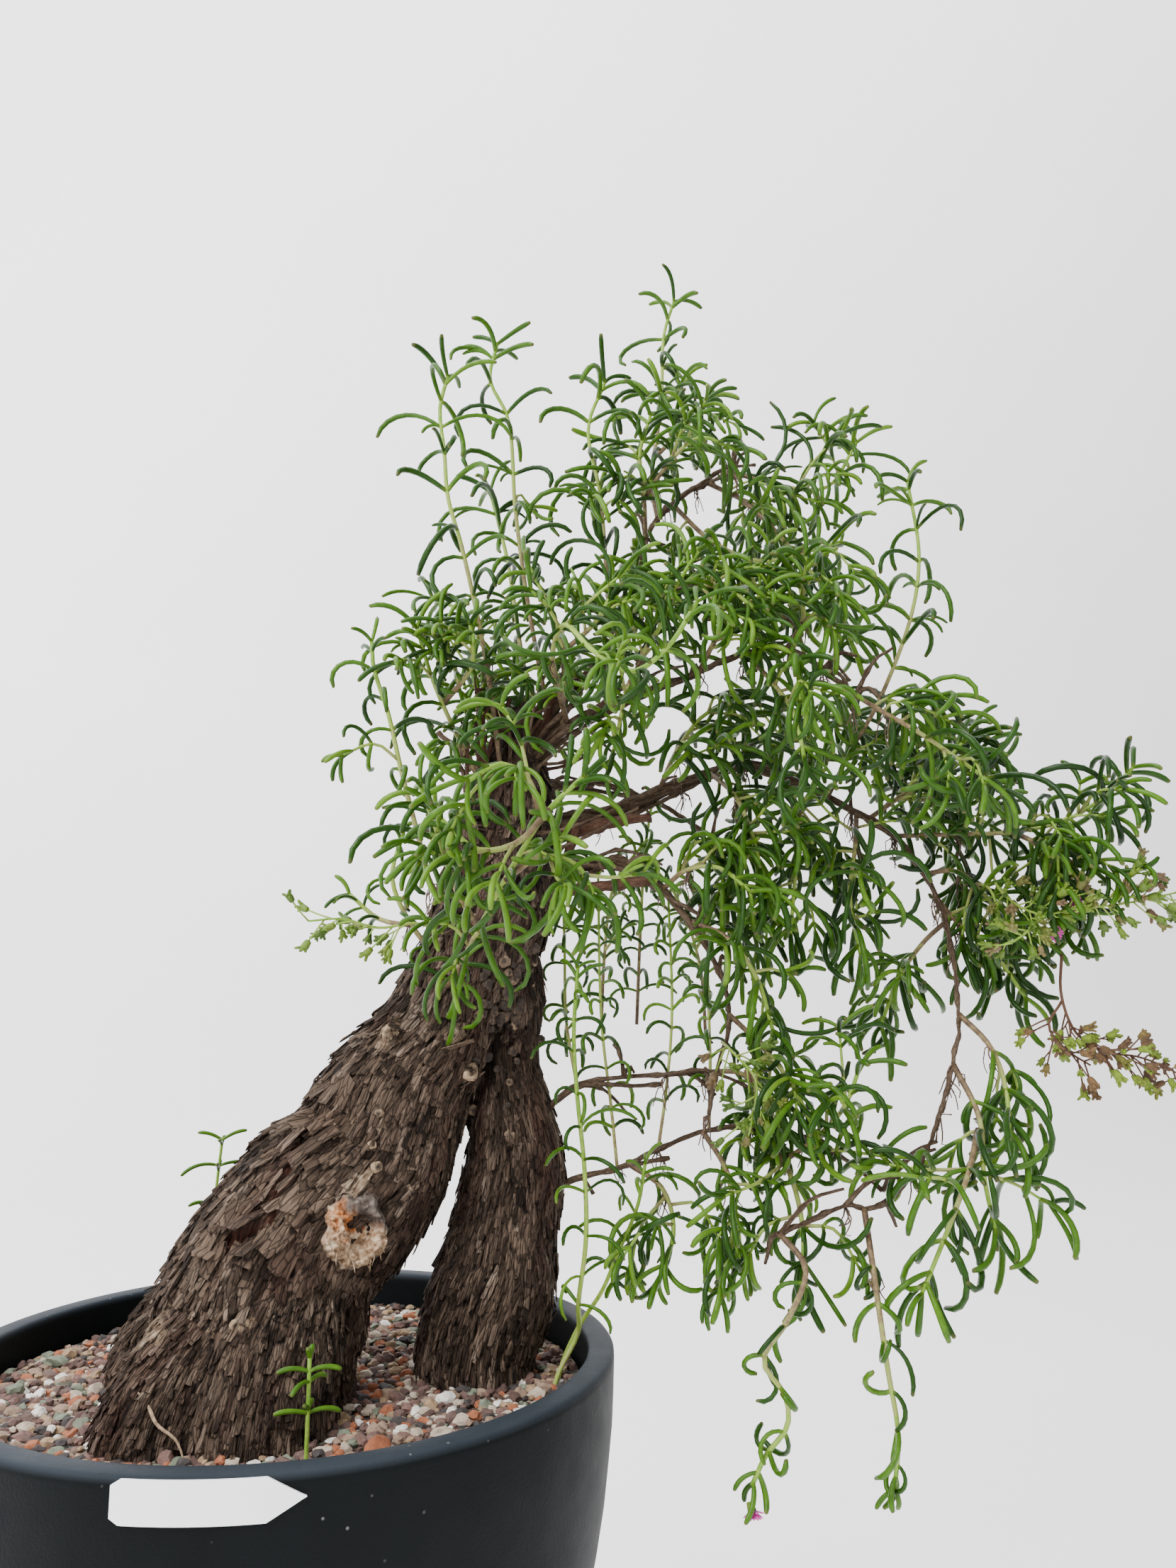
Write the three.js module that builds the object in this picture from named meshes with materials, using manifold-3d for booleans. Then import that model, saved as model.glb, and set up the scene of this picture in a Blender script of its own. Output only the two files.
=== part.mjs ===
// Mestoklema tuberosum, a small succulent shrub, grown as a bonsai in a round pot.
// A swollen caudex on two legs carries a pruned head, arching woody branches and leafy shoots.
// Millimetres, +Z up, with the origin at the centre of the pot's underside.
import * as THREE from 'three';
import { mergeVertices } from 'three/addons/utils/BufferGeometryUtils.js';
import Module from 'manifold-3d';

const wasm = await Module();
wasm.setup();

// Pot, soil and grit
const POT_RADIUS = 125;
const POT_HEIGHT = 190;
const POT_FOOT_RADIUS = 88;
const POT_WALL = 10;
const POT_FLOOR = 8;
const POT_SIDES = 32;
const DRAIN_HOLE_RADIUS = 6;
const DRAIN_HOLE_RING = 45;
const DRAIN_HOLES = 3;
const SOIL_TOP = 169;
const GRIT_TOP = 176;
const GRIT_RELIEF = 1.6;
const GRIT_PITCH = 13.5;
const GRIT_SCATTER = 0.28 * GRIT_PITCH;

// Spaces that keep neighbouring pieces apart
const FIT_GAP = 0.35;
const LEAF_GAP = 0.5;

// Leaves, which stand in crossed pairs and curl back at the tip
const LEAF_LENGTH = 25;
const LEAF_RADIUS = 1.35;
const LEAF_BEND = 0.3;
const LEAF_SIDES = 3;
const LEAF_RISE = THREE.MathUtils.degToRad(40);
const LEAF_CURL = THREE.MathUtils.degToRad(88);
const LEAF_DROOP = 0.3;
const LEAF_SAMPLE = 2.5;
const YOUNG_LEAF = 0.75;
const PAIR_SPACING = 28;
const PAIR_SPACING_AT_TIP = 8;
const PAIR_SPACING_GROWTH = 7;
const BARE_FOOT = 14;
const STEM_RADIUS = 1.35;
const STEM_TIP_RADIUS = 1;
const STEM_SIDES = 4;

// Flowers
const CALYX_RADIUS = 1.9;
const CALYX_LENGTH = 4;
const FORK_LENGTH = [6, 12];
const FORK_RADIUS = 0.6;
const BLOOM_RADIUS = 4.2;
const BLOOM_CUP = { top: 1.7, bottom: 1.2, height: 2.2, back: 2.6 };
const BLOOM_STALK_RADIUS = 0.55;
const PETALS = 10;
const PETAL_RADIUS = 0.75;
const PETAL_START = 0.8;
const PETAL_LIFT = 0.35;

// Plant label
const LABEL_LENGTH = 55;
const LABEL_HEIGHT = 13;
const LABEL_THICKNESS = 0.8;
const LABEL_TOP = POT_HEIGHT - 1;
const LABEL_ANGLE = THREE.MathUtils.degToRad(-99.3);
const LABEL_POINT = 11;
const LABEL_HEAD = 0.72;
const LABEL_HEAD_TAPER = 10;
const LABEL_COLUMNS = 10;

// Colours
const BARK = 0x6f5a49;
const POT_GREY = 0x2b2f31;
const SOIL_BROWN = 0x3a2c22;
const GRIT_PINK = 0xa88d80;
const LEAF_GREEN = 0x5b8c34;
const CALYX_GREEN = 0x9aa83f;
const DRIED_BROWN = 0x8f7350;
const PETAL_PINK = 0xc8509a;
const LABEL_WHITE = 0xf2f2ef;

// Seeded random numbers, so that the plant grows the same way each time
let seed = 20461;
function random() {
  seed = (seed + 0x6d2b79f5) | 0;
  let mixed = Math.imul(seed ^ (seed >>> 15), 1 | seed);
  mixed = (mixed + Math.imul(mixed ^ (mixed >>> 7), 61 | mixed)) ^ mixed;
  return ((mixed ^ (mixed >>> 14)) >>> 0) / 4294967296;
}

function between(low, high) {
  return low + (high - low) * random();
}

function vector([x, y, z]) {
  return new THREE.Vector3(x, y, z);
}

// A closed geometry as a solid that can be joined and cut
function toSolid(geometry) {
  const bare = geometry.clone();
  bare.deleteAttribute('normal');
  bare.deleteAttribute('uv');
  const merged = mergeVertices(bare, 1e-4);
  const corners = merged.index.array;
  const kept = [];
  for (let i = 0; i < corners.length; i += 3) {
    const [a, b, c] = [corners[i], corners[i + 1], corners[i + 2]];
    if (a !== b && b !== c && c !== a) kept.push(a, b, c);
  }
  const vertProperties = new Float32Array(merged.attributes.position.array);
  const triVerts = new Uint32Array(kept);
  return new wasm.Manifold(new wasm.Mesh({ numProp: 3, vertProperties, triVerts }));
}

function join(solids) {
  return solids.reduce((whole, solid) => whole.add(solid));
}

// The largest body of a solid, without the scraps that a cut leaves loose
function mainBody(solid) {
  const bodies = solid.decompose();
  return bodies.reduce((best, body) => (body.volume() > best.volume() ? body : best));
}

function toMesh(name, solid, color, roughness) {
  const cut = solid.getMesh();
  const geometry = new THREE.BufferGeometry();
  geometry.setAttribute('position', new THREE.BufferAttribute(cut.vertProperties, 3));
  geometry.setIndex(new THREE.BufferAttribute(cut.triVerts, 1));
  geometry.computeVertexNormals();
  const material = new THREE.MeshStandardMaterial({ color, roughness, metalness: 0 });
  const mesh = new THREE.Mesh(geometry, material);
  mesh.name = name;
  return mesh;
}

// Bends a cylinder or cone, whose axis is Y, along a row of centres and gives it its girth.
// The spine is kept as straight pieces, for measuring the distance to neighbours.
function alongCentres(geometry, centres, frames, girth) {
  const steps = centres.length - 1;
  const position = geometry.attributes.position;
  const vertex = new THREE.Vector3();
  for (let i = 0; i < position.count; i += 1) {
    vertex.fromBufferAttribute(position, i);
    const step = Math.round((vertex.y + 0.5) * steps);
    const off = Math.hypot(vertex.x, vertex.z);
    const around = Math.atan2(vertex.z, vertex.x);
    const reach = off > 1e-6 ? girth(step / steps, around) : 0;
    const place = centres[step].clone();
    place.addScaledVector(frames.binormals[step], reach * Math.cos(around));
    place.addScaledVector(frames.normals[step], reach * Math.sin(around));
    position.setXYZ(i, place.x, place.y, place.z);
  }
  const spine = [];
  for (let i = 0; i < steps; i += 1) {
    const radius = Math.max(girth(i / steps, 0), girth((i + 1) / steps, 0));
    spine.push({ line: new THREE.Line3(centres[i], centres[i + 1]), radius });
  }
  return { solid: toSolid(geometry), spine };
}

function alongCurve(curve, sides, steps, girth) {
  const centres = [];
  for (let i = 0; i <= steps; i += 1) centres.push(curve.getPointAt(i / steps));
  const rod = new THREE.CylinderGeometry(1, 1, 1, sides, steps);
  return alongCentres(rod, centres, curve.computeFrenetFrames(steps), girth);
}

// A round limb with flat ends through the points of its route, its radii spread evenly from root to tip
function limb(route, radii, sides, steps, grow = 0, roughness = () => 1) {
  const curve = new THREE.CatmullRomCurve3(route.map(vector));
  const girth = (t, around) => {
    const place = t * (radii.length - 1);
    const index = Math.min(Math.floor(place), radii.length - 2);
    const radius = THREE.MathUtils.lerp(radii[index], radii[index + 1], place - index);
    return radius * roughness(t, around) + grow;
  };
  return alongCurve(curve, sides, steps, girth);
}

// The pot: a tapered wall with a thick plain rim, and a floor with drain holes
const potOutline = [
  [POT_FOOT_RADIUS, 0],
  [99, 45],
  [110.5, 85],
  [118.5, 120],
  [123, 152],
  [124.6, 175],
  [POT_RADIUS, POT_HEIGHT],
];
const INNER_HEIGHTS = [POT_FLOOR, 85, 152];

function potRadiusAt(z) {
  const next = potOutline.findIndex(([, height]) => height >= z);
  if (next <= 0) return POT_FOOT_RADIUS;
  const [lowRadius, low] = potOutline[next - 1];
  const [highRadius, high] = potOutline[next];
  return THREE.MathUtils.mapLinear(z, low, high, lowRadius, highRadius);
}

// A profile of radii and heights turned round the pot's axis
function turned(profile) {
  const points = profile.map(([radius, z]) => new THREE.Vector2(radius, z));
  return new THREE.LatheGeometry(points, POT_SIDES).rotateX(Math.PI / 2);
}

function makePot() {
  const inside = [...INNER_HEIGHTS, POT_HEIGHT].reverse().map((z) => [potRadiusAt(z) - POT_WALL, z]);
  const profile = [[0, 0], ...potOutline, ...inside, [0, POT_FLOOR]];
  let pot = toSolid(turned(profile));
  for (let i = 0; i < DRAIN_HOLES; i += 1) {
    const angle = Math.PI / 2 + (i * 2 * Math.PI) / DRAIN_HOLES;
    const hole = new THREE.CylinderGeometry(DRAIN_HOLE_RADIUS, DRAIN_HOLE_RADIUS, 4 * POT_FLOOR, 10);
    hole.rotateX(Math.PI / 2);
    hole.translate(DRAIN_HOLE_RING * Math.cos(angle), DRAIN_HOLE_RING * Math.sin(angle), 0);
    pot = pot.subtract(toSolid(hole));
  }
  return pot;
}

// Soil and grit keep a small gap to the pot's wall and floor
function innerRadiusAt(z) {
  const heights = [...INNER_HEIGHTS, POT_HEIGHT];
  const next = heights.findIndex((height) => height > z);
  const [low, high] = [heights[next - 1], heights[next]];
  return THREE.MathUtils.mapLinear(z, low, high, potRadiusAt(low), potRadiusAt(high)) - POT_WALL - FIT_GAP;
}

function makeSoil() {
  const bottom = POT_FLOOR + FIT_GAP;
  const heights = [bottom, ...INNER_HEIGHTS.slice(1), SOIL_TOP];
  const wall = heights.map((z) => [innerRadiusAt(z), z]);
  return toSolid(turned([[0, bottom], ...wall, [0, SOIL_TOP]]));
}

// The grit is one layer whose top is raised into stones by a seeded relief
function makeGrit() {
  const bottom = SOIL_TOP + FIT_GAP;
  const edge = innerRadiusAt(GRIT_TOP) - 1;
  const top = [];
  for (let radius = edge; radius > 3 * GRIT_PITCH; radius -= GRIT_PITCH) {
    top.push([radius, GRIT_TOP]);
  }
  const geometry = turned([[0, bottom], [innerRadiusAt(bottom), bottom], ...top, [0, GRIT_TOP]]);
  geometry.deleteAttribute('normal');
  geometry.deleteAttribute('uv');
  const merged = mergeVertices(geometry, 1e-3);
  const position = merged.attributes.position;
  for (let i = 0; i < position.count; i += 1) {
    if (position.getZ(i) < GRIT_TOP - 0.01) continue;
    if (Math.hypot(position.getX(i), position.getY(i)) > edge - 1) continue;
    position.setX(i, position.getX(i) + between(-GRIT_SCATTER, GRIT_SCATTER));
    position.setY(i, position.getY(i) + between(-GRIT_SCATTER, GRIT_SCATTER));
    position.setZ(i, GRIT_TOP + between(-GRIT_RELIEF, GRIT_RELIEF));
  }
  return toSolid(merged);
}

// Woody skeleton. Each route runs from root to tip, and the radii are spread evenly along it.
const caudex = {
  leftLeg: {
    route: [[-16, -18, 160], [-11, -18, 176], [-11, -18, 196], [-5, -14.5, 218], [8.5, -9, 238],
      [27, -6, 258], [38, -3, 281], [54, 0, 305], [63, 2, 328], [73, 2, 349], [80, 2, 370]],
    radii: [38, 36, 39, 35.5, 36, 32, 28.5, 24, 20, 21, 22],
    sides: 14,
    steps: 10,
  },
  leftHeel: {
    route: [[-50, 14, 160], [-46, 14, 178], [-39, 10, 200], [-26, 3, 218]],
    radii: [17, 21, 16, 8],
    sides: 8,
    steps: 4,
  },
  leftToe: {
    route: [[-39, -44, 160], [-40, -44, 176], [-31, -36, 194], [-18, -26, 216]],
    radii: [20, 21, 20, 13],
    sides: 9,
    steps: 4,
  },
  instep: {
    route: [[-10, -45, 160], [-10, -45, 176], [-6, -40, 194], [2, -28, 216]],
    radii: [25.5, 26, 25.5, 20],
    sides: 9,
    steps: 4,
  },
  rightLeg: {
    route: [[73, -7, 160], [72, -5, 185], [79.5, -3, 211], [84, 0, 232], [88, 2, 254],
      [86, 3, 276], [84, 3, 299], [85, 3, 322], [82, 2, 345]],
    radii: [22, 23, 25, 21.5, 21, 17, 13, 14.5, 13],
    sides: 12,
    steps: 8,
  },
  crotch: {
    route: [[64, 4, 312], [67, 5, 288], [70, 6, 270]],
    radii: [12, 10, 6],
    sides: 8,
    steps: 2,
  },
  neck: {
    route: [[66, 2, 312], [71, 2, 332], [80, 2, 362], [83, 1, 390], [86, 0, 412], [87, 0, 432], [86, 0, 446]],
    radii: [19, 22.5, 24, 22, 18, 11, 5],
    sides: 11,
    steps: 6,
  },
};

const roots = [
  { route: [[-30, -36, 168], [-50, -52, 136], [-60, -62, 104]], radii: [18, 10, 3] },
  { route: [[-16, -18, 168], [-10, -26, 128], [-6, -40, 84]], radii: [24, 13, 3] },
  { route: [[-44, 6, 168], [-58, 24, 136], [-66, 38, 102]], radii: [15, 9, 3] },
  { route: [[77, -6, 168], [76, 6, 128], [64, 26, 92]], radii: [19, 11, 3] },
];

const branches = {
  outer: {
    route: [[84, 2, 380], [104, 4, 392], [126, 6, 399], [163, 8, 415], [192, 5, 423], [217, 0, 414],
      [239, -5, 403], [255, -12, 391], [265, -30, 364], [263, -45, 337], [257, -58, 314], [249, -66, 295],
      [239, -72, 277], [226, -78, 260], [208, -80, 246], [194, -82, 247], [168, -84, 239]],
    radii: [5.5, 4.6, 4.2, 3.6, 3.2, 2.6, 2, 1.7, 1.5, 1.4, 1.3, 1.3, 1.2],
    sides: 5,
    steps: 18,
  },
  crown: {
    route: [[86, 0, 412], [101, 2, 441], [126, 5, 469], [142, 8, 492], [148, 10, 529], [158, 10, 544],
      [173, 12, 557], [193, 14, 568]],
    radii: [5, 3.6, 3, 2.8, 2.6, 2.4, 2.2, 1.8],
    sides: 5,
    steps: 11,
  },
  front: {
    route: [[83, -4, 408], [106, -14, 434], [131, -24, 445], [158, -34, 455], [175, -42, 462],
      [192, -48, 464], [205, -54, 454], [216, -60, 442]],
    radii: [4.5, 3.4, 3, 2.8, 2.5, 2.2, 1.9, 1.6],
    sides: 5,
    steps: 9,
  },
  hanging: {
    route: [[88, 0, 366], [117, -6, 377], [131, -12, 375], [145, -18, 366], [158, -24, 348], [166, -30, 331],
      [168, -36, 311], [160, -42, 292], [155, -46, 276]],
    radii: [4, 3, 2.4, 2.1, 1.9, 1.7, 1.5, 1.4],
    sides: 4,
    steps: 9,
  },
  spur: {
    route: [[92, 0, 268], [112, -6, 285], [131, -10, 288], [148, -14, 289], [164, -18, 290]],
    radii: [2.4, 1.8, 1.5, 1.3],
    sides: 4,
    steps: 6,
  },
  low: {
    route: [[95, 0, 236], [110, -4, 247], [128, -10, 252], [143, -18, 260], [162, -26, 268], [177, -34, 269],
      [195, -42, 266], [212, -50, 257], [222, -56, 247]],
    radii: [3.2, 2.5, 2.1, 1.8, 1.6, 1.4, 1.3],
    sides: 4,
    steps: 9,
  },
  back: {
    route: [[84, 8, 392], [104, 30, 412], [132, 48, 420], [164, 58, 414], [196, 62, 398]],
    radii: [4.5, 3.2, 2.6, 2.2, 1.7],
    sides: 4,
    steps: 8,
  },
  backLeft: {
    route: [[82, 6, 400], [70, 26, 424], [58, 44, 440]],
    radii: [4, 2.6, 1.8],
    sides: 4,
    steps: 4,
  },
  deadTip: {
    route: [[189, 14, 566], [193, 14, 572], [194, 14, 583]],
    radii: [2, 1.8, 1.5],
    sides: 4,
    steps: 2,
  },
};

const stubs = [
  { route: [[104, 0, 362], [109, -2, 380], [112, -3, 392]], radii: [3.4, 3, 2.6] },
  { route: [[112, 2, 390], [128, -8, 394], [142, -15, 396]], radii: [3.4, 2.8, 2.4] },
  { route: [[90, -4, 418], [98, -8, 436], [101, -10, 447]], radii: [3.6, 2.8, 2.4] },
  { route: [[74, -8, 392], [70, -12, 420], [68, -14, 448]], radii: [4.4, 2.8, 2.2] },
  { route: [[96, -2, 364], [120, -14, 366], [140, -22, 369]], radii: [3.8, 3, 2.6] },
  { route: [[66, -10, 372], [54, -18, 380], [47, -20, 388]], radii: [4.4, 3.2, 2.6] },
];

// Knots: centre on the bark and radius
const knots = [
  [[34.4, -20.3, 307.3], 4], [[58.8, -23.7, 306.4], 4.4], [[65.6, -19.7, 291.9], 4], [[28, -37, 267], 2.8],
  [[-25, -34, 240], 3.4], [[41, -34, 251], 2.8], [[82.6, -15.9, 266.8], 2.8], [[60.7, -16.8, 344.2], 5],
  [[-25, -51.8, 209.6], 2.6], [[86, -11, 306], 3.6],
];

const wound = {
  centre: [23, -41.5, 239],
  facing: [0.25, -0.9, 0.3],
  radius: 12,
  dish: 9,
  dishHeight: 10,
};

// Long shallow furrows between the ridges of the bark
function furrowed(t, around) {
  const ridges = 0.035 * Math.sin(7 * around + 5 * t) + 0.025 * Math.sin(4 * around - 9 * t);
  return 1 + ridges + 0.02 * Math.sin(17 * t + 3 * around);
}

// The wound where a thick branch came off: a torn plug with a raised collar and a shallow dish
function addWound(tree) {
  const outward = vector(wound.facing).normalize();
  const centre = vector(wound.centre);
  const along = (reach) => centre.clone().addScaledVector(outward, reach).toArray();
  const route = [along(-wound.radius), along(0), along(0.3 * wound.radius)];
  const collar = limb(route, [wound.radius - 1, wound.radius + 1, wound.radius - 1], 10, 2);
  const dish = new THREE.IcosahedronGeometry(wound.dish, 0).translate(...along(wound.dishHeight));
  return tree.add(collar.solid).subtract(toSolid(dish));
}

// Everything that grew as one piece of wood, also a little larger, to cut the room that others leave it
function makeTree(grow) {
  const body = Object.values(caudex).map(({ route, radii, sides, steps }) =>
    limb(route, radii, sides, steps, grow, furrowed));
  const rooted = roots.map(({ route, radii }) => limb(route, radii, 5, 2, grow));
  const woody = Object.values(branches).map(({ route, radii, sides, steps }) =>
    limb(route, radii, sides, steps, grow));
  const pruned = stubs.map(({ route, radii }) => limb(route, radii, 5, route.length - 1, grow));
  const parts = [...body, ...rooted, ...woody, ...pruned];
  const bumps = knots.map(([centre, radius]) =>
    toSolid(new THREE.IcosahedronGeometry(radius + grow, 0).translate(...centre)));
  const whole = join([...parts.map((part) => part.solid), ...bumps]);
  return { solid: addWound(whole), spine: parts.flatMap((part) => part.spine) };
}

// Places that are taken: straight pieces of stem, branch and leaf, with the node that each belongs to
const taken = [];

function take(owner, spine) {
  for (const piece of spine) taken.push({ owner, ...piece });
}

// The pot, its rim and the grit, with the air above the grit left free
function inPot(point) {
  const radius = Math.hypot(point.x, point.y);
  if (radius > POT_RADIUS + 3 || point.z > POT_HEIGHT + 3) return false;
  return radius > POT_RADIUS - POT_WALL - 4 || point.z < GRIT_TOP + 5;
}

function isFree(spine, owner) {
  const nearest = new THREE.Vector3();
  const point = new THREE.Vector3();
  for (const { line, radius } of spine) {
    const count = Math.ceil(line.distance() / LEAF_SAMPLE);
    for (let i = 0; i <= count; i += 1) {
      line.at(i / count, point);
      if (inPot(point)) return false;
      for (const other of taken) {
        if (other.owner === owner) continue;
        other.line.closestPointToPoint(point, true, nearest);
        const room = radius + other.radius + LEAF_GAP;
        if (nearest.distanceToSquared(point) < room * room) return false;
      }
    }
  }
  return true;
}

// One fleshy leaf, pointed at both ends: it leaves the stem slanted towards the tip, then bends back and down
function makeLeaf(root, forward, outward, length, curl) {
  const start = forward.clone().multiplyScalar(Math.cos(LEAF_RISE));
  start.addScaledVector(outward, Math.sin(LEAF_RISE));
  const end = forward.clone().multiplyScalar(Math.cos(curl));
  end.addScaledVector(outward, Math.sin(curl));
  end.z -= LEAF_DROOP;
  end.normalize();
  const bend = root.clone().addScaledVector(start, LEAF_BEND * length);
  const tip = bend.clone().addScaledVector(end, (1 - LEAF_BEND) * length);
  const across = start.clone().cross(end).normalize();
  const inward = across.clone().cross(start.clone().add(end)).normalize();
  const frames = { binormals: [across, across, across], normals: [inward, inward, inward] };
  const spindle = new THREE.ConeGeometry(1, 1, LEAF_SIDES, 2);
  return alongCentres(spindle, [root, bend, tip], frames, (t) => (t === 0.5 ? LEAF_RADIUS : 0));
}

// The point and direction on a stem as it is built, in straight pieces between its steps
function onStem({ spine, curve }, t) {
  const place = Math.min(t, 1) * spine.length;
  const index = Math.min(Math.floor(place), spine.length - 1);
  const { line } = spine[index];
  const forward = line.delta(new THREE.Vector3()).normalize();
  const aside = curve.computeFrenetFrames(spine.length).binormals[index].clone();
  aside.addScaledVector(forward, -aside.dot(forward)).normalize();
  return { point: line.at(place - index, new THREE.Vector3()), forward, aside };
}

// Two leaves on opposite sides. A leaf that would meet another shoot turns aside, or is left out.
function growPair(name, root, turn, length) {
  const { point, forward, aside } = root;
  const pair = [];
  for (const side of [0, Math.PI]) {
    for (let tries = 0; tries < 9; tries += 1) {
      const swing = (tries % 2 ? 1 : -1) * 0.16 * tries;
      const outward = aside.clone().applyAxisAngle(forward, turn + side + swing);
      const curl = LEAF_CURL + between(-0.35, 0.35);
      const leaf = makeLeaf(point, forward, outward, length * between(0.85, 1.12), curl);
      if (isFree(leaf.spine, name)) {
        pair.push(leaf);
        break;
      }
    }
  }
  for (const leaf of pair) take(name, leaf.spine);
  return pair.map((leaf) => leaf.solid);
}

function growStem(name, route) {
  const curve = new THREE.CatmullRomCurve3(route.map(vector));
  const length = curve.getLength();
  const steps = Math.max(3, Math.round(length / 26));
  const stem = limb(route, [STEM_RADIUS, STEM_TIP_RADIUS], STEM_SIDES, steps);
  take(name, stem.spine);
  return { name, curve, length, ...stem };
}

// Crossed pairs of leaves from the tip down to the bare foot of a stem
function growLeaves(stem, bareLength) {
  const leaves = [];
  let turn = Math.PI / 4 + Math.floor(between(0, 2)) * (Math.PI / 2);
  let along = stem.length - 1.5;
  let spacing = PAIR_SPACING_AT_TIP;
  while (along > bareLength) {
    const young = along > stem.length - 4;
    const root = onStem(stem, along / stem.length);
    leaves.push(...growPair(stem.name, root, turn, LEAF_LENGTH * (young ? YOUNG_LEAF : 1)));
    turn += Math.PI / 2;
    along -= spacing;
    spacing = Math.min(PAIR_SPACING, spacing + PAIR_SPACING_GROWTH);
  }
  return leaves;
}

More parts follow.
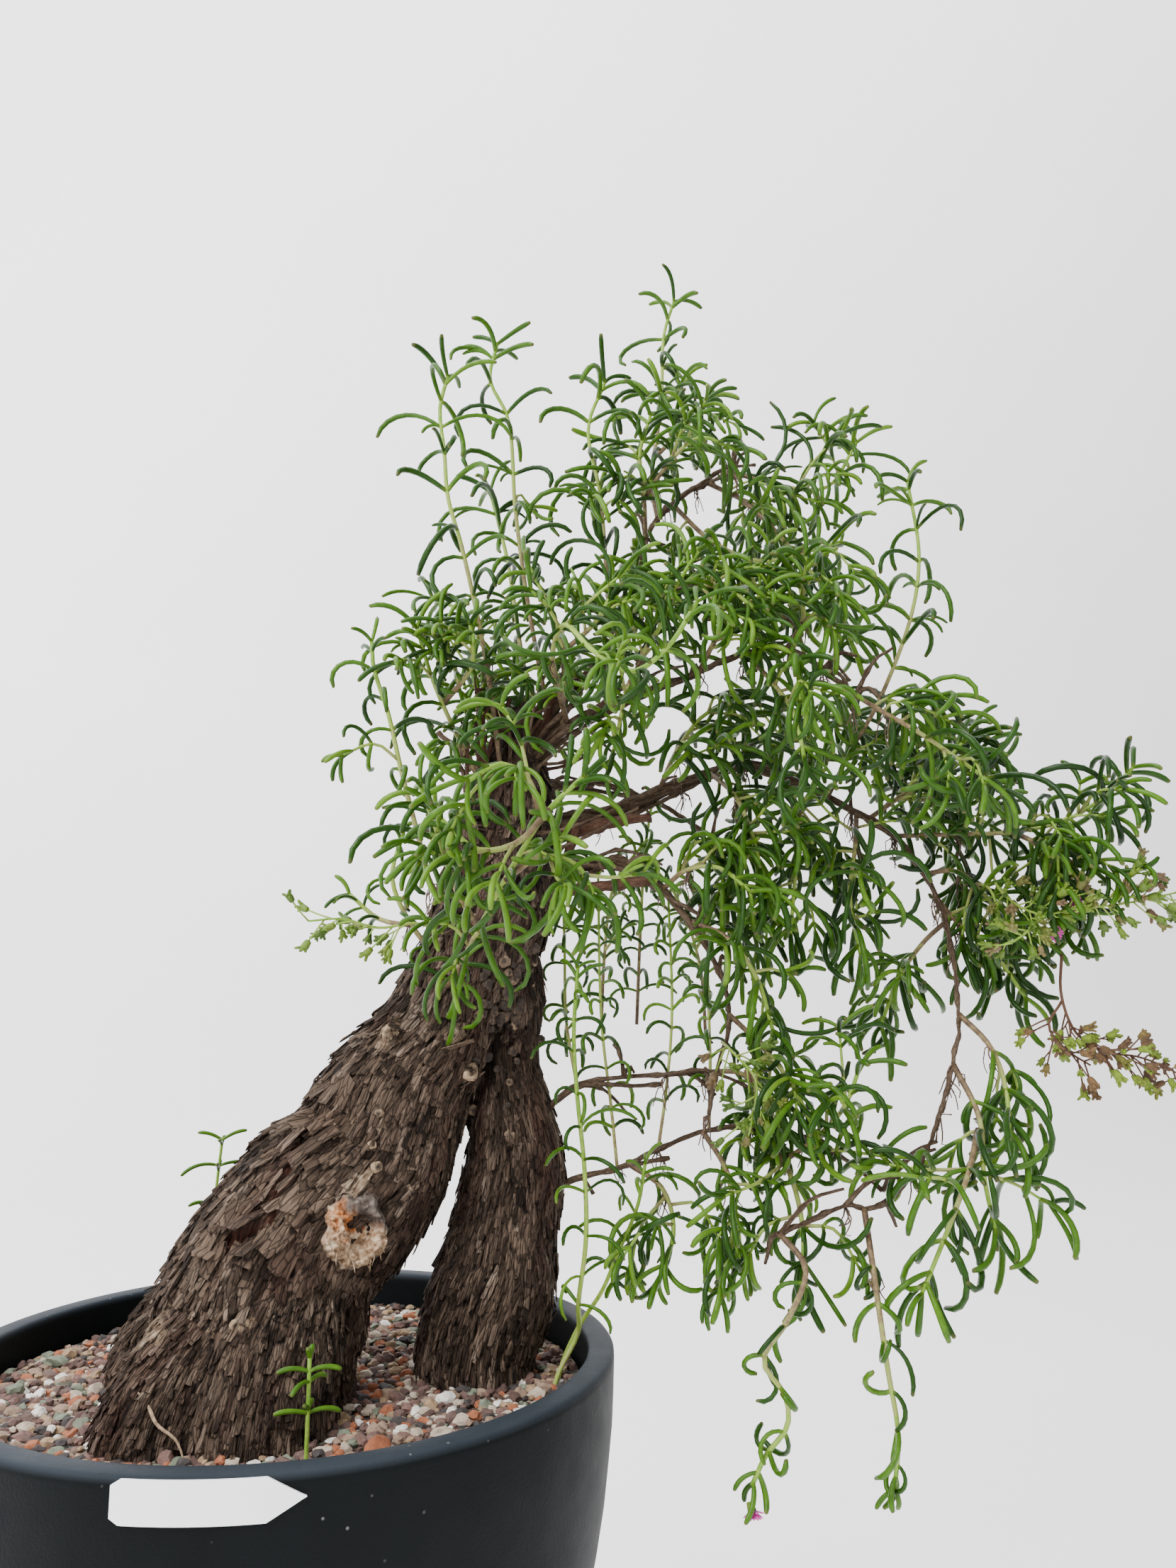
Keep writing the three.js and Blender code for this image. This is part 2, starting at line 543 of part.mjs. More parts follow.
// Leafy shoots: each is a node with one stem or a few, and its routes start inside what it grows from
const shoots = {
  crown_left_shoot: [[[80, -8, 404], [69, -26, 457], [57, -35, 502], [51, -38, 520], [49, -38, 540],
    [47, -37, 559], [50, -36, 574]]],
  crown_middle_shoot: [[[101, 2, 441], [91, 0, 491], [84, -6, 531], [80, -8, 572], [72, -7, 590],
    [75, -6, 608]]],
  crown_back_shoot: [[[101, 2, 441], [95, 22, 462], [90, 30, 500], [87, 33, 522], [79, 36, 556]]],
  crown_rising_shoot: [[[131, 6, 475], [125, -6, 508], [121, -11, 540], [115, -14, 569], [122, -16, 590]]],
  crown_top_shoot: [[[154, 10, 538], [154, 20, 562], [161, 26, 605], [164, 30, 644], [170, 32, 664]],
    [[156, 21, 575], [172, 26, 590], [180, 30, 584]]],
  crown_short_shoot: [[[148, 10, 527], [142, -8, 545], [138, -16, 558], [142, -20, 575]],
    [[143, -6, 542], [152, -16, 556], [164, -22, 566], [179, -26, 560]]],
  left_upright_shoot: [[[66, -6, 350], [49, -22, 365], [43, -28, 383], [35, -36, 408], [29, -40, 430],
    [23, -42, 447], [22, -42, 457]]],
  left_low_shoot: [[[60, -4, 330], [42, -12, 350], [34, -16, 368], [38, -18, 386]],
    [[44, -12, 349], [30, -4, 352], [18, -2, 362]]],
  crown_end_shoot: [[[193, 14, 568], [212, 12, 563], [238, 8, 562], [254, 6, 586]]],
  crown_arching_shoot: [[[161, 10, 547], [176, -2, 526], [196, -8, 516], [235, -12, 527]]],
  crown_trailing_shoot: [[[180, 12, 560], [207, 26, 557], [236, 34, 542], [258, 40, 520]],
    [[195, 20, 560], [207, 8, 542], [220, -4, 518], [232, -10, 499], [237, -14, 480]]],
  outer_tall_shoot: [[[228, -3, 408], [239, -10, 432], [249, -14, 450], [265, -20, 492], [269, -22, 520],
    [266, -20, 556]]],
  front_short_shoot: [[[192, -48, 464], [196, -56, 474], [193, -60, 490]],
    [[195, -54, 471], [186, -44, 482], [182, -36, 494]]],
  head_back_shoot: [[[82, 6, 404], [84, 22, 440], [72, 32, 474], [66, 36, 496], [50, 42, 504]]],
  head_fan_shoot: [[[104, -12, 432], [102, -26, 460], [94, -34, 478], [84, -40, 494]],
    [[101, -28, 462], [112, -40, 472], [118, -46, 484]]],
  head_left_shoot: [[[76, -4, 400], [60, -18, 424], [48, -26, 446], [40, -34, 466]],
    [[52, -22, 438], [62, -36, 452], [60, -44, 466]]],
  near_arching_shoot: [[[106, -14, 434], [90, -60, 450], [88, -92, 454], [94, -114, 438], [105, -122, 430],
    [116, -126, 438], [126, -128, 454]]],
  near_tufted_shoot: [[[142, 8, 492], [142, -30, 484], [141, -56, 484], [146, -72, 494]],
    [[141, -52, 484], [158, -66, 482], [166, -78, 470]]],
  front_rising_shoot: [[[158, -34, 455], [162, -46, 467], [170, -54, 478], [184, -62, 482]]],
  front_falling_shoot: [[[175, -42, 462], [179, -60, 447], [183, -74, 430], [184, -82, 408]]],
  front_tufted_shoot: [[[131, -24, 445], [132, -36, 459], [137, -46, 469], [142, -54, 482]],
    [[132, -33, 455], [124, -44, 444], [120, -48, 430], [117, -46, 414]]],
  outer_second_shoot: [[[153, 8, 412], [156, -8, 426], [165, -16, 440], [178, -20, 447]]],
  outer_drooping_shoot: [[[176, 7, 420], [179, -20, 404], [181, -34, 384], [182, -42, 362]]],
  outer_back_shoot: [[[202, 4, 421], [217, 16, 441], [238, 26, 453], [260, 32, 456]]],
  outer_hanging_shoot: [[[217, 0, 414], [208, -18, 391], [201, -28, 368], [196, -34, 346]]],
  outer_long_shoot: [[[241, -6, 402], [232, -22, 384], [225, -30, 362], [225, -38, 338]]],
  outer_reaching_shoot: [[[214, -59, 444], [226, -66, 434], [238, -72, 425], [254, -78, 412],
    [268, -80, 402]]],
  far_right_shoot: [[[255, -12, 391], [280, -25, 391], [299, -38, 391], [317, -48, 395], [330, -54, 403],
    [346, -58, 418]], [[299, -38, 391], [310, -52, 380], [314, -62, 366]]],
  right_tufted_shoot: [[[246, -8, 399], [262, -4, 409], [278, -10, 421], [292, -18, 437]],
    [[263, -4, 410], [282, 6, 411], [308, 8, 420]]],
  right_drooping_shoot: [[[262, -24, 373], [277, -29, 374], [291, -33, 359], [304, -38, 341]]],
  inner_hanging_shoot: [[[156, -22, 352], [169, -34, 344], [177, -44, 328], [180, -52, 308]]],
  inner_low_shoot: [[[168, -35, 314], [176, -50, 302], [184, -60, 288], [192, -66, 268]]],
  inner_front_shoot: [[[146, -18, 365], [152, -34, 372], [162, -44, 372], [172, -52, 362]]],
  spur_shoot: [[[164, -18, 290], [176, -26, 290], [185, -32, 280], [187, -36, 262]]],
  low_inner_shoot: [[[132, -12, 254], [142, -28, 246], [143, -38, 232], [136, -44, 218]]],
  low_middle_shoot: [[[160, -25, 267], [163, -44, 254], [161, -56, 236], [152, -64, 216]]],
  low_outer_shoot: [[[180, -35, 269], [184, -54, 256], [185, -64, 238], [182, -70, 218]],
    [[183, -50, 258], [192, -62, 268], [202, -67, 280], [208, -70, 296]]],
  cascade_upper_shoot: [[[264, -30, 364], [276, -28, 352], [289, -32, 340], [302, -36, 320]],
    [[274, -28, 355], [264, -20, 344], [252, -18, 328], [242, -20, 308]]],
  cascade_middle_shoot: [[[257, -58, 314], [267, -68, 301], [273, -76, 285], [272, -82, 266]]],
  cascade_lower_shoot: [[[249, -66, 295], [256, -78, 276], [258, -86, 256], [266, -90, 238]],
    [[257, -80, 272], [248, -92, 258], [238, -97, 240], [226, -99, 220]]],
  trailing_inner_shoot: [[[168, -84, 239], [174, -92, 229], [165, -97, 214], [155, -99, 202],
    [162, -100, 191], [163, -99, 181], [156, -97, 172], [152, -95, 163]]],
  trailing_outer_shoot: [[[202, -81, 246], [200, -91, 226], [202, -95, 195], [205, -95, 174],
    [204, -93, 156]]],
  near_trunk_shoot: [[[56, -6, 322], [58, -50, 334], [62, -84, 350], [68, -106, 366], [76, -125, 382],
    [86, -130, 392]],
    [[76, -125, 382], [66, -122, 371], [54, -118, 369], [43, -112, 379]],
    [[61, -75, 345], [50, -92, 359], [42, -104, 377], [36, -110, 390]],
    [[66, -100, 361], [76, -112, 368], [86, -122, 364], [90, -128, 354]],
    [[74, -121, 378], [68, -131, 390], [58, -136, 394], [48, -138, 388]]],
  back_hanging_shoot: [[[164, 58, 414], [163, 68, 390], [162, 74, 350], [161, 78, 306]],
    [[163, 67, 395], [148, 70, 374], [144, 74, 342], [143, 77, 310]],
    [[163, 69, 387], [180, 74, 370], [194, 79, 336], [198, 82, 296]]],
};

// Plants that stand in the grit, with the bare length of each: two suckers and two seedlings
const planted = {
  tall_sucker: {
    bare: 62,
    route: [[96, -30, 150], [99, -28, 178], [108, -26, 194], [106, -36, 208], [107, -44, 232],
      [106, -46, 257], [103, -46, 286], [102, -45, 307], [104, -43, 332]],
  },
  leaning_sucker: {
    bare: 66,
    route: [[100, -18, 150], [103, -17, 178], [110, -18, 194], [117, -29, 210], [122, -32, 223],
      [129, -37, 242], [131, -41, 258]],
  },
  front_seedling: { bare: 40, route: [[8, -96, 150], [7, -96, 178], [7, -96, 196], [7, -96, 213]] },
  back_seedling: { bare: 72, route: [[-34, 70, 150], [-33, 70, 178], [-33, 70, 232], [-31, 69, 262]] },
};

// Flower sprays: a main stem whose short forks end in calyces
const sprays = {
  green_flower_spray: {
    color: CALYX_GREEN,
    forks: 9,
    from: 0.22,
    route: [[291, -32, 388], [287, -42, 366], [300, -49, 361], [320, -53, 360], [340, -56, 363],
      [362, -58, 367]],
  },
  dried_flower_spray: {
    color: DRIED_BROWN,
    forks: 9,
    from: 0.42,
    route: [[304, -60, 338], [301, -64, 326], [305, -66, 311], [317, -68, 297], [329, -70, 289],
      [344, -72, 287]],
  },
  left_flower_spray: {
    color: CALYX_GREEN,
    forks: 7,
    from: 0.3,
    route: [[54, -22, 346], [42, -34, 349], [28, -38, 347], [14, -41, 350], [2, -43, 349]],
  },
  inner_flower_spray: {
    color: CALYX_GREEN,
    forks: 5,
    from: 0.35,
    route: [[164, -38, 303], [162, -56, 300], [168, -64, 290], [164, -68, 274]],
  },
};

// Blooms: a ring of narrow petals that faces away from its spray or shoot.
// The place is the part of its spray's length at which a bloom's stalk leaves it.
const blooms = {
  spray_bloom: {
    centre: [302, -58, 347],
    towards: [0.1, -0.8, -0.4],
    spray: 'green_flower_spray',
    place: 0.36,
  },
  spray_side_bloom: {
    centre: [309, -63, 358],
    towards: [0.3, -0.9, 0.1],
    spray: 'green_flower_spray',
    place: 0.46,
  },
  trailing_bloom: { centre: [151, -96, 155], towards: [0.1, -0.5, -0.9] },
};

// A solid whose axis is Y, turned to face a direction and moved to a place
function facing(geometry, direction, place) {
  const turn = new THREE.Quaternion().setFromUnitVectors(new THREE.Vector3(0, 1, 0), direction);
  return toSolid(geometry.applyQuaternion(turn).translate(...place.toArray()));
}

// One fork of a spray: a thin stalk that ends in a calyx. It is left out where it would meet a neighbour.
function growFork(name, { point, forward, aside }, turn) {
  for (let tries = 0; tries < 12; tries += 1) {
    const outward = aside.clone().applyAxisAngle(forward, Math.PI / 4 + (Math.PI / 2) * (turn + tries));
    const lean = forward.clone().multiplyScalar(0.8).add(outward).normalize();
    const end = point.clone().addScaledVector(lean, between(...FORK_LENGTH));
    const cup = end.clone().addScaledVector(lean, CALYX_LENGTH);
    const spine = [
      { line: new THREE.Line3(point, end), radius: FORK_RADIUS },
      { line: new THREE.Line3(end, cup), radius: CALYX_RADIUS },
    ];
    if (isFree(spine, name)) {
      take(name, spine);
      const girth = (t) => (t > 0.9 ? CALYX_RADIUS : FORK_RADIUS);
      return [alongCurve(new THREE.LineCurve3(point, cup), 3, 3, girth).solid];
    }
  }
  return [];
}

function bloomStalk(stem, { centre, towards, place }) {
  const { point } = onStem(stem, place);
  const back = vector(centre).addScaledVector(vector(towards).normalize(), -BLOOM_CUP.back);
  return alongCurve(new THREE.LineCurve3(point, back), 3, 1, () => BLOOM_STALK_RADIUS).solid;
}

function growSpray(name, { route, forks, from }) {
  const curve = new THREE.CatmullRomCurve3(route.map(vector));
  const main = limb(route, [1, 0.8], 4, Math.round(curve.getLength() / 24));
  take(name, main.spine);
  const stem = { curve, spine: main.spine };
  const own = Object.values(blooms).filter(({ spray }) => spray === name);
  const solids = [main.solid, ...own.map((bloom) => bloomStalk(stem, bloom))];
  for (let i = 0; i < forks; i += 1) {
    const root = onStem(stem, THREE.MathUtils.lerp(from, 1, i / (forks - 1)));
    solids.push(...growFork(name, root, i));
  }
  return join(solids);
}

function makeBloom({ centre, towards }) {
  const outward = vector(towards).normalize();
  const middle = vector(centre);
  const cup = new THREE.CylinderGeometry(BLOOM_CUP.top, BLOOM_CUP.bottom, BLOOM_CUP.height, 6);
  const solids = [facing(cup, outward, middle)];
  for (let i = 0; i < PETALS; i += 1) {
    const along = new THREE.Vector3(1, 0, 0).cross(outward).normalize();
    along.applyAxisAngle(outward, (i * 2 * Math.PI) / PETALS);
    along.addScaledVector(outward, PETAL_LIFT).normalize();
    const place = middle.clone().addScaledVector(along, BLOOM_RADIUS / 2 + PETAL_START);
    solids.push(facing(new THREE.ConeGeometry(PETAL_RADIUS, BLOOM_RADIUS, 3), along, place));
  }
  return join(solids);
}

// Plain white label: a thin plate bent round the wall, with its corners clipped and one end pointed
function makeLabel() {
  const plate = new THREE.BoxGeometry(LABEL_LENGTH, LABEL_HEIGHT, LABEL_THICKNESS, LABEL_COLUMNS, 1, 1);
  const position = plate.attributes.position;
  const radius = POT_RADIUS + FIT_GAP + LABEL_THICKNESS / 2;
  for (let i = 0; i < position.count; i += 1) {
    const along = position.getX(i);
    const toPoint = (LABEL_LENGTH / 2 - along) / LABEL_POINT;
    const toHead = (LABEL_LENGTH / 2 + along) / LABEL_HEAD_TAPER;
    const narrow = Math.min(1, toPoint, LABEL_HEAD + toHead);
    const reach = radius + position.getZ(i);
    const angle = LABEL_ANGLE + along / radius;
    const height = LABEL_TOP - LABEL_HEIGHT / 2 + narrow * position.getY(i);
    position.setXYZ(i, reach * Math.cos(angle), reach * Math.sin(angle), height);
  }
  return toSolid(plate);
}

// Everything with a fixed place is grown before the leaves, which then keep clear of it
const tree = makeTree(0);
const treeRoom = makeTree(FIT_GAP).solid;
take('tree', tree.spine);
for (const [name, { centre }] of Object.entries(blooms)) {
  const middle = vector(centre);
  const line = new THREE.Line3(middle, middle.clone().setZ(middle.z + 1));
  take(name, [{ line, radius: BLOOM_RADIUS + 1 }]);
}
const leafy = Object.entries(shoots).map(([name, routes]) => ({
  name,
  bare: BARE_FOOT,
  stems: routes.map((route) => growStem(name, route)),
}));
const standing = Object.entries(planted).map(([name, { bare, route }]) => ({
  name,
  bare,
  stems: [growStem(name, route)],
}));

// Soil and grit leave room for the tree and for each stem that stands in them
function cutRoom(solid) {
  let rest = solid.subtract(treeRoom);
  for (const { curve, spine } of standing.flatMap(({ stems }) => stems)) {
    const room = alongCurve(curve, STEM_SIDES, spine.length, () => STEM_RADIUS + FIT_GAP + 0.1);
    rest = rest.subtract(room.solid);
  }
  return mainBody(rest);
}

function withLeaves({ stems, bare }) {
  return join(stems.flatMap((stem) => [stem.solid, ...growLeaves(stem, bare)]));
}

const plant = new THREE.Group();
plant.add(toMesh('tree', tree.solid, BARK, 0.95));
plant.add(toMesh('pot', makePot(), POT_GREY, 0.8));
plant.add(toMesh('soil', cutRoom(makeSoil()), SOIL_BROWN, 1));
plant.add(toMesh('grit', cutRoom(makeGrit()), GRIT_PINK, 0.95));
plant.add(toMesh('label', makeLabel(), LABEL_WHITE, 0.5));
for (const [name, spray] of Object.entries(sprays)) {
  const solid = mainBody(growSpray(name, spray).subtract(treeRoom));
  plant.add(toMesh(name, solid, spray.color, 0.7));
}
for (const shoot of leafy) {
  plant.add(toMesh(shoot.name, mainBody(withLeaves(shoot).subtract(treeRoom)), LEAF_GREEN, 0.55));
}
for (const seedling of standing) {
  plant.add(toMesh(seedling.name, withLeaves(seedling), LEAF_GREEN, 0.55));
}
for (const [name, bloom] of Object.entries(blooms)) {
  plant.add(toMesh(name, makeBloom(bloom), PETAL_PINK, 0.6));
}

export default plant;
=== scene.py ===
import math
import random

import bmesh
import bpy
import numpy
from mathutils import Matrix, Vector, geometry, noise


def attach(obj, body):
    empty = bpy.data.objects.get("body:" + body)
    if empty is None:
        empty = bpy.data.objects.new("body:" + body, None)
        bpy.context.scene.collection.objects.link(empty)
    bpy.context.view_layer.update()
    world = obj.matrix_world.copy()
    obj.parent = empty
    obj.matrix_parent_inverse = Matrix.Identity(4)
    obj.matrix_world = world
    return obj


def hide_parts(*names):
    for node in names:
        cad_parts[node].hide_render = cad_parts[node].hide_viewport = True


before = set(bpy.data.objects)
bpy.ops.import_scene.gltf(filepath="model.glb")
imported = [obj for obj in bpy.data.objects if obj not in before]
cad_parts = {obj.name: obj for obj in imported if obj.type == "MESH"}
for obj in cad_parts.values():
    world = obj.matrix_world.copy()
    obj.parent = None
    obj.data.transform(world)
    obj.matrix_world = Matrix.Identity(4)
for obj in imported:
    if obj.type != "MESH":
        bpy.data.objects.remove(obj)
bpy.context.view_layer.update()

MM = 0.001

# Camera. It stands low in front of the pot, looks up a little and sees the plant against a wall.
camera = bpy.data.objects.new("camera", bpy.data.cameras.new("camera"))
camera.data.lens = 27.67
camera.data.sensor_width = 36
camera.data.clip_start = 0.01
camera.matrix_world = (
    Matrix.Translation((0, -0.5023, 0.3276))
    @ Matrix.Rotation(-0.231, 4, "Z")
    @ Matrix.Rotation(math.pi / 2 + 0.161, 4, "X")
)
bpy.context.scene.collection.objects.link(camera)
bpy.context.scene.camera = camera

# Pot. A round pot moulded in one piece from dark matte plastic, with a plain thick rim.
# Its wall curves in to a flat foot, and three holes in the floor let water out.
POT_SECTION = [
    (0, 0), (60, 0), (84, 0), (87, 1), (88.6, 3.5), (92.8, 22), (99, 45), (105.2, 65), (110.5, 85),
    (115, 103), (118.5, 120), (121.2, 136), (123, 152), (124.2, 164), (124.7, 175), (125, 186),
    (124.9, 188.6), (124.2, 189.6), (123.2, 190), (116.6, 190), (115.6, 189.7), (115.1, 188.8),
    (114.9, 186), (114.6, 175), (113, 152), (108.5, 120), (100.5, 85), (89.2, 45), (78.6, 9),
    (76, 8), (0, 8),
]
POT_STEPS = 128
DRAIN_RING = 45
DRAIN_RADIUS = 6


def new_finish(name):
    finish = bpy.data.materials.new(name)
    finish.use_nodes = True
    return finish, finish.node_tree, finish.node_tree.nodes["Principled BSDF"]


def add(tree, kind, sockets=None, **settings):
    """A shader node with its settings, whose sockets take a value or another node's output."""
    node = tree.nodes.new("ShaderNode" + kind)
    for key, value in settings.items():
        setattr(node, key, value)
    for key, value in (sockets or {}).items():
        if isinstance(value, bpy.types.NodeSocket):
            tree.links.new(value, node.inputs[key])
        else:
            node.inputs[key].default_value = value
    return node


def ramp(tree, factor, stops):
    """A colour band from stops of (place, red, green, blue)."""
    node = add(tree, "ValToRGB", {"Fac": factor})
    band = node.color_ramp.elements
    while len(band) < len(stops):
        band.new(1)
    for element, (place, *colour) in zip(band, stops):
        element.position = place
        element.color = (*colour, 1)
    return node.outputs["Color"]


def blend(tree, factor, first, second, mode="MIX"):
    node = add(tree, "Mix", {"Factor": factor}, data_type="RGBA", blend_type=mode)
    for socket, value in ((node.inputs[6], first), (node.inputs[7], second)):
        if isinstance(value, bpy.types.NodeSocket):
            tree.links.new(value, socket)
        else:
            socket.default_value = (*value, 1)
    return node.outputs[2]


def own_place(tree, scale=(1, 1, 1)):
    """Object coordinates, stretched along the axes."""
    place = add(tree, "TexCoord").outputs["Object"]
    return add(tree, "Mapping", {"Vector": place, "Scale": scale}).outputs["Vector"]


def grain(tree, scale, where=None, detail=4, roughness=0.6):
    source = where if where is not None else own_place(tree)
    sockets = {"Vector": source, "Scale": scale, "Detail": detail, "Roughness": roughness}
    return add(tree, "TexNoise", sockets).outputs["Fac"]


def relief(tree, shader, height, depth, strength=1.0):
    bump = add(tree, "Bump", {"Height": height, "Distance": depth, "Strength": strength})
    tree.links.new(bump.outputs["Normal"], shader.inputs["Normal"])


def make_piece(name, bm, finishes, nodes=(), smooth=True):
    """A bmesh as a finished piece that rides on the plant and stands for its CAD nodes."""
    mesh = bpy.data.meshes.new(name)
    bm.to_mesh(mesh)
    bm.free()
    if smooth:
        mesh.shade_smooth()
    for finish in finishes:
        mesh.materials.append(finish)
    piece = bpy.data.objects.new(name, mesh)
    bpy.context.scene.collection.objects.link(piece)
    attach(piece, "root")
    if nodes:
        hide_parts(*nodes)
    return piece


def pot_finish():
    finish, tree, shader = new_finish("matte_charcoal_plastic")
    scuffs = grain(tree, 60, detail=6)
    haze = grain(tree, 9, own_place(tree, (1, 1, 0.35)))
    height = add(tree, "SeparateXYZ", {"Vector": own_place(tree)}).outputs["Z"]
    # The top of the rim gets a lighter, bluish grey than the wall: a painted highlight of the light falling on it from
    # above.
    painted_light_on_rim_top = add(tree, "MapRange", {"Value": height, "From Min": 0.1875, "From Max": 0.1897})
    wall = ramp(tree, haze, [(0.3, 0.0016, 0.0024, 0.0026), (0.7, 0.0046, 0.0060, 0.0064)])
    lip = ramp(tree, haze, [(0.3, 0.012, 0.017, 0.023), (0.7, 0.032, 0.039, 0.048)])
    colour = blend(tree, painted_light_on_rim_top.outputs["Result"], wall, lip)
    specks = add(tree, "TexVoronoi", {"Vector": own_place(tree), "Scale": 150})
    dust = ramp(tree, specks.outputs["Distance"], [(0, 1, 1, 1), (0.05, 1, 1, 1), (0.09, 0, 0, 0)])
    patchy = ramp(tree, scuffs, [(0.5, 0, 0, 0), (0.62, 1, 1, 1)])
    dusty = add(tree, "Math", {0: dust, 1: patchy}, operation="MULTIPLY").outputs[0]
    dirt = add(tree, "Math", {0: dusty, 1: 0.3}, operation="MULTIPLY").outputs[0]
    speckled = blend(tree, dirt, colour, (0.35, 0.35, 0.33))
    tree.links.new(speckled, shader.inputs["Base Color"])
    shader.inputs["Specular IOR Level"].default_value = 0.07
    rough = add(tree, "MapRange", {"Value": scuffs, "To Min": 0.42, "To Max": 0.66})
    tree.links.new(rough.outputs["Result"], shader.inputs["Roughness"])
    relief(tree, shader, grain(tree, 900, detail=3), 0.0004, 0.35)
    return finish


def make_pot():
    bm = bmesh.new()
    section = [bm.verts.new((radius * MM, 0, z * MM)) for radius, z in POT_SECTION]
    edges = [bm.edges.new(pair) for pair in zip(section, section[1:])]
    bmesh.ops.spin(bm, geom=section + edges, cent=(0, 0, 0), axis=(0, 0, 1),
                   angle=2 * math.pi, steps=POT_STEPS, use_merge=True)
    bmesh.ops.remove_doubles(bm, verts=bm.verts, dist=1e-6)
    bmesh.ops.recalc_face_normals(bm, faces=bm.faces)
    return bm


def drill(piece):
    """Cuts the drain holes through the pot's floor."""
    drills = bmesh.new()
    for i in range(3):
        angle = math.pi / 2 + i * 2 * math.pi / 3
        centre = (DRAIN_RING * MM * math.cos(angle), DRAIN_RING * MM * math.sin(angle), 0)
        bmesh.ops.create_cone(drills, cap_ends=True, segments=24, radius1=DRAIN_RADIUS * MM,
                              radius2=DRAIN_RADIUS * MM, depth=0.04,
                              matrix=Matrix.Translation(centre))
    mesh = bpy.data.meshes.new("drills")
    drills.to_mesh(mesh)
    drills.free()
    cutter = bpy.data.objects.new("drills", mesh)
    bpy.context.scene.collection.objects.link(cutter)
    cut = piece.modifiers.new("holes", "BOOLEAN")
    cut.operation = "DIFFERENCE"
    cut.object = cutter
    cut.solver = "EXACT"
    shaped = bpy.data.meshes.new_from_object(piece.evaluated_get(bpy.context.evaluated_depsgraph_get()))
    piece.modifiers.clear()
    piece.data = shaped
    bpy.data.objects.remove(cutter)
    bpy.data.meshes.remove(mesh)


pot = make_piece("pot_body", make_pot(), [pot_finish()], ["pot"])
drill(pot)
pot.data.set_sharp_from_angle(angle=math.radians(50))

# Label. A plain white plastic strip stuck to the wall under the rim, with one end cut to a point.
LABEL_SIZE = (55, 12)
LABEL_REACH = 125.9
LABEL_MIDDLE = math.radians(-99.3)
LABEL_CENTRE = 183.6


def label_finish():
    finish, tree, shader = new_finish("white_label_plastic")
    stain = grain(tree, 120, detail=5)
    colour = ramp(tree, stain, [(0.35, 0.90, 0.91, 0.90), (0.7, 0.95, 0.95, 0.94)])
    tree.links.new(colour, shader.inputs["Base Color"])
    shader.inputs["Roughness"].default_value = 0.42
    relief(tree, shader, stain, 0.0003, 0.3)
    return finish


def make_label():
    bm = bmesh.new()
    length, height = LABEL_SIZE
    bmesh.ops.create_grid(bm, x_segments=40, y_segments=6, size=0.5,
                          matrix=Matrix.Diagonal((length, height, 1, 1)))
    for vert in bm.verts:
        to_point = (length / 2 - vert.co.x) / 11
        to_head = 0.72 + (length / 2 + vert.co.x) / 10
        vert.co.y *= max(min(1, to_point, to_head), 0.02)
    bmesh.ops.solidify(bm, geom=bm.faces[:], thickness=0.8)
    for vert in bm.verts:
        angle = LABEL_MIDDLE + vert.co.x / LABEL_REACH
        reach = (LABEL_REACH + vert.co.z) * MM
        vert.co = (reach * math.cos(angle), reach * math.sin(angle), (LABEL_CENTRE + vert.co.y) * MM)
    bmesh.ops.recalc_face_normals(bm, faces=bm.faces)
    return bm


label = make_piece("plain_label", make_label(), [label_finish()], ["label"])
label.data.set_sharp_from_angle(angle=math.radians(40))

# Soil and grit. Damp brown soil fills the pot, under a top dressing of loose mixed stones.
# The stones are washed gravel: mauve, brown, cream, white, terracotta and sage green.
GRIT_LEVEL = 176.4
GRIT_REACH = 112.4
STONE_PITCH = 3.7
STONE_COLOURS = [
    (0.00, 0.170, 0.096, 0.078), (0.14, 0.085, 0.046, 0.036), (0.26, 0.290, 0.200, 0.140),
    (0.37, 0.330, 0.110, 0.048), (0.46, 0.480, 0.400, 0.310), (0.54, 0.120, 0.072, 0.060),
    (0.66, 0.160, 0.185, 0.130), (0.74, 0.330, 0.225, 0.130), (0.84, 0.760, 0.730, 0.670),
    (0.91, 0.045, 0.038, 0.036),
]


def soil_finish():
    finish, tree, shader = new_finish("damp_soil")
    crumbs = grain(tree, 220, detail=8, roughness=0.7)
    colour = ramp(tree, crumbs, [(0.3, 0.012, 0.008, 0.005), (0.7, 0.06, 0.038, 0.024)])
    tree.links.new(colour, shader.inputs["Base Color"])
    shader.inputs["Roughness"].default_value = 0.95
    relief(tree, shader, crumbs, 0.002)
    return finish


def gravel_bed_finish():
    finish, tree, shader = new_finish("fine_gravel_in_painted_shade")
    cells = add(tree, "TexVoronoi", {"Vector": own_place(tree), "Scale": 330})
    pick = add(tree, "SeparateColor", {"Color": cells.outputs["Color"]}).outputs["Red"]
    # The bed between the loose stones takes the stones' own colours darkened to under half: painted shade in the gaps
    # between them.
    shaded_stone_colours = [(place, r * 0.45, g * 0.42, b * 0.4) for place, r, g, b in STONE_COLOURS]
    tree.links.new(ramp(tree, pick, shaded_stone_colours), shader.inputs["Base Color"])
    shader.inputs["Roughness"].default_value = 0.9
    inverted = add(tree, "Math", {0: 1.0, 1: cells.outputs["Distance"]}, operation="SUBTRACT")
    relief(tree, shader, inverted.outputs[0], 0.0012)
    return finish


def stone_finish():
    finish, tree, shader = new_finish("washed_stones")
    pick = add(tree, "Attribute", attribute_name="tone").outputs["Fac"]
    palette = ramp(tree, pick, STONE_COLOURS)
    palette.node.color_ramp.interpolation = "CONSTANT"
    mottle = ramp(tree, grain(tree, 520, detail=6), [(0.3, 0.62, 0.6, 0.6), (0.7, 1.15, 1.12, 1.1)])
    tree.links.new(blend(tree, 1.0, palette, mottle, "MULTIPLY"), shader.inputs["Base Color"])
    shader.inputs["Roughness"].default_value = 0.82
    relief(tree, shader, grain(tree, 900, detail=5), 0.0005, 0.6)
    return finish


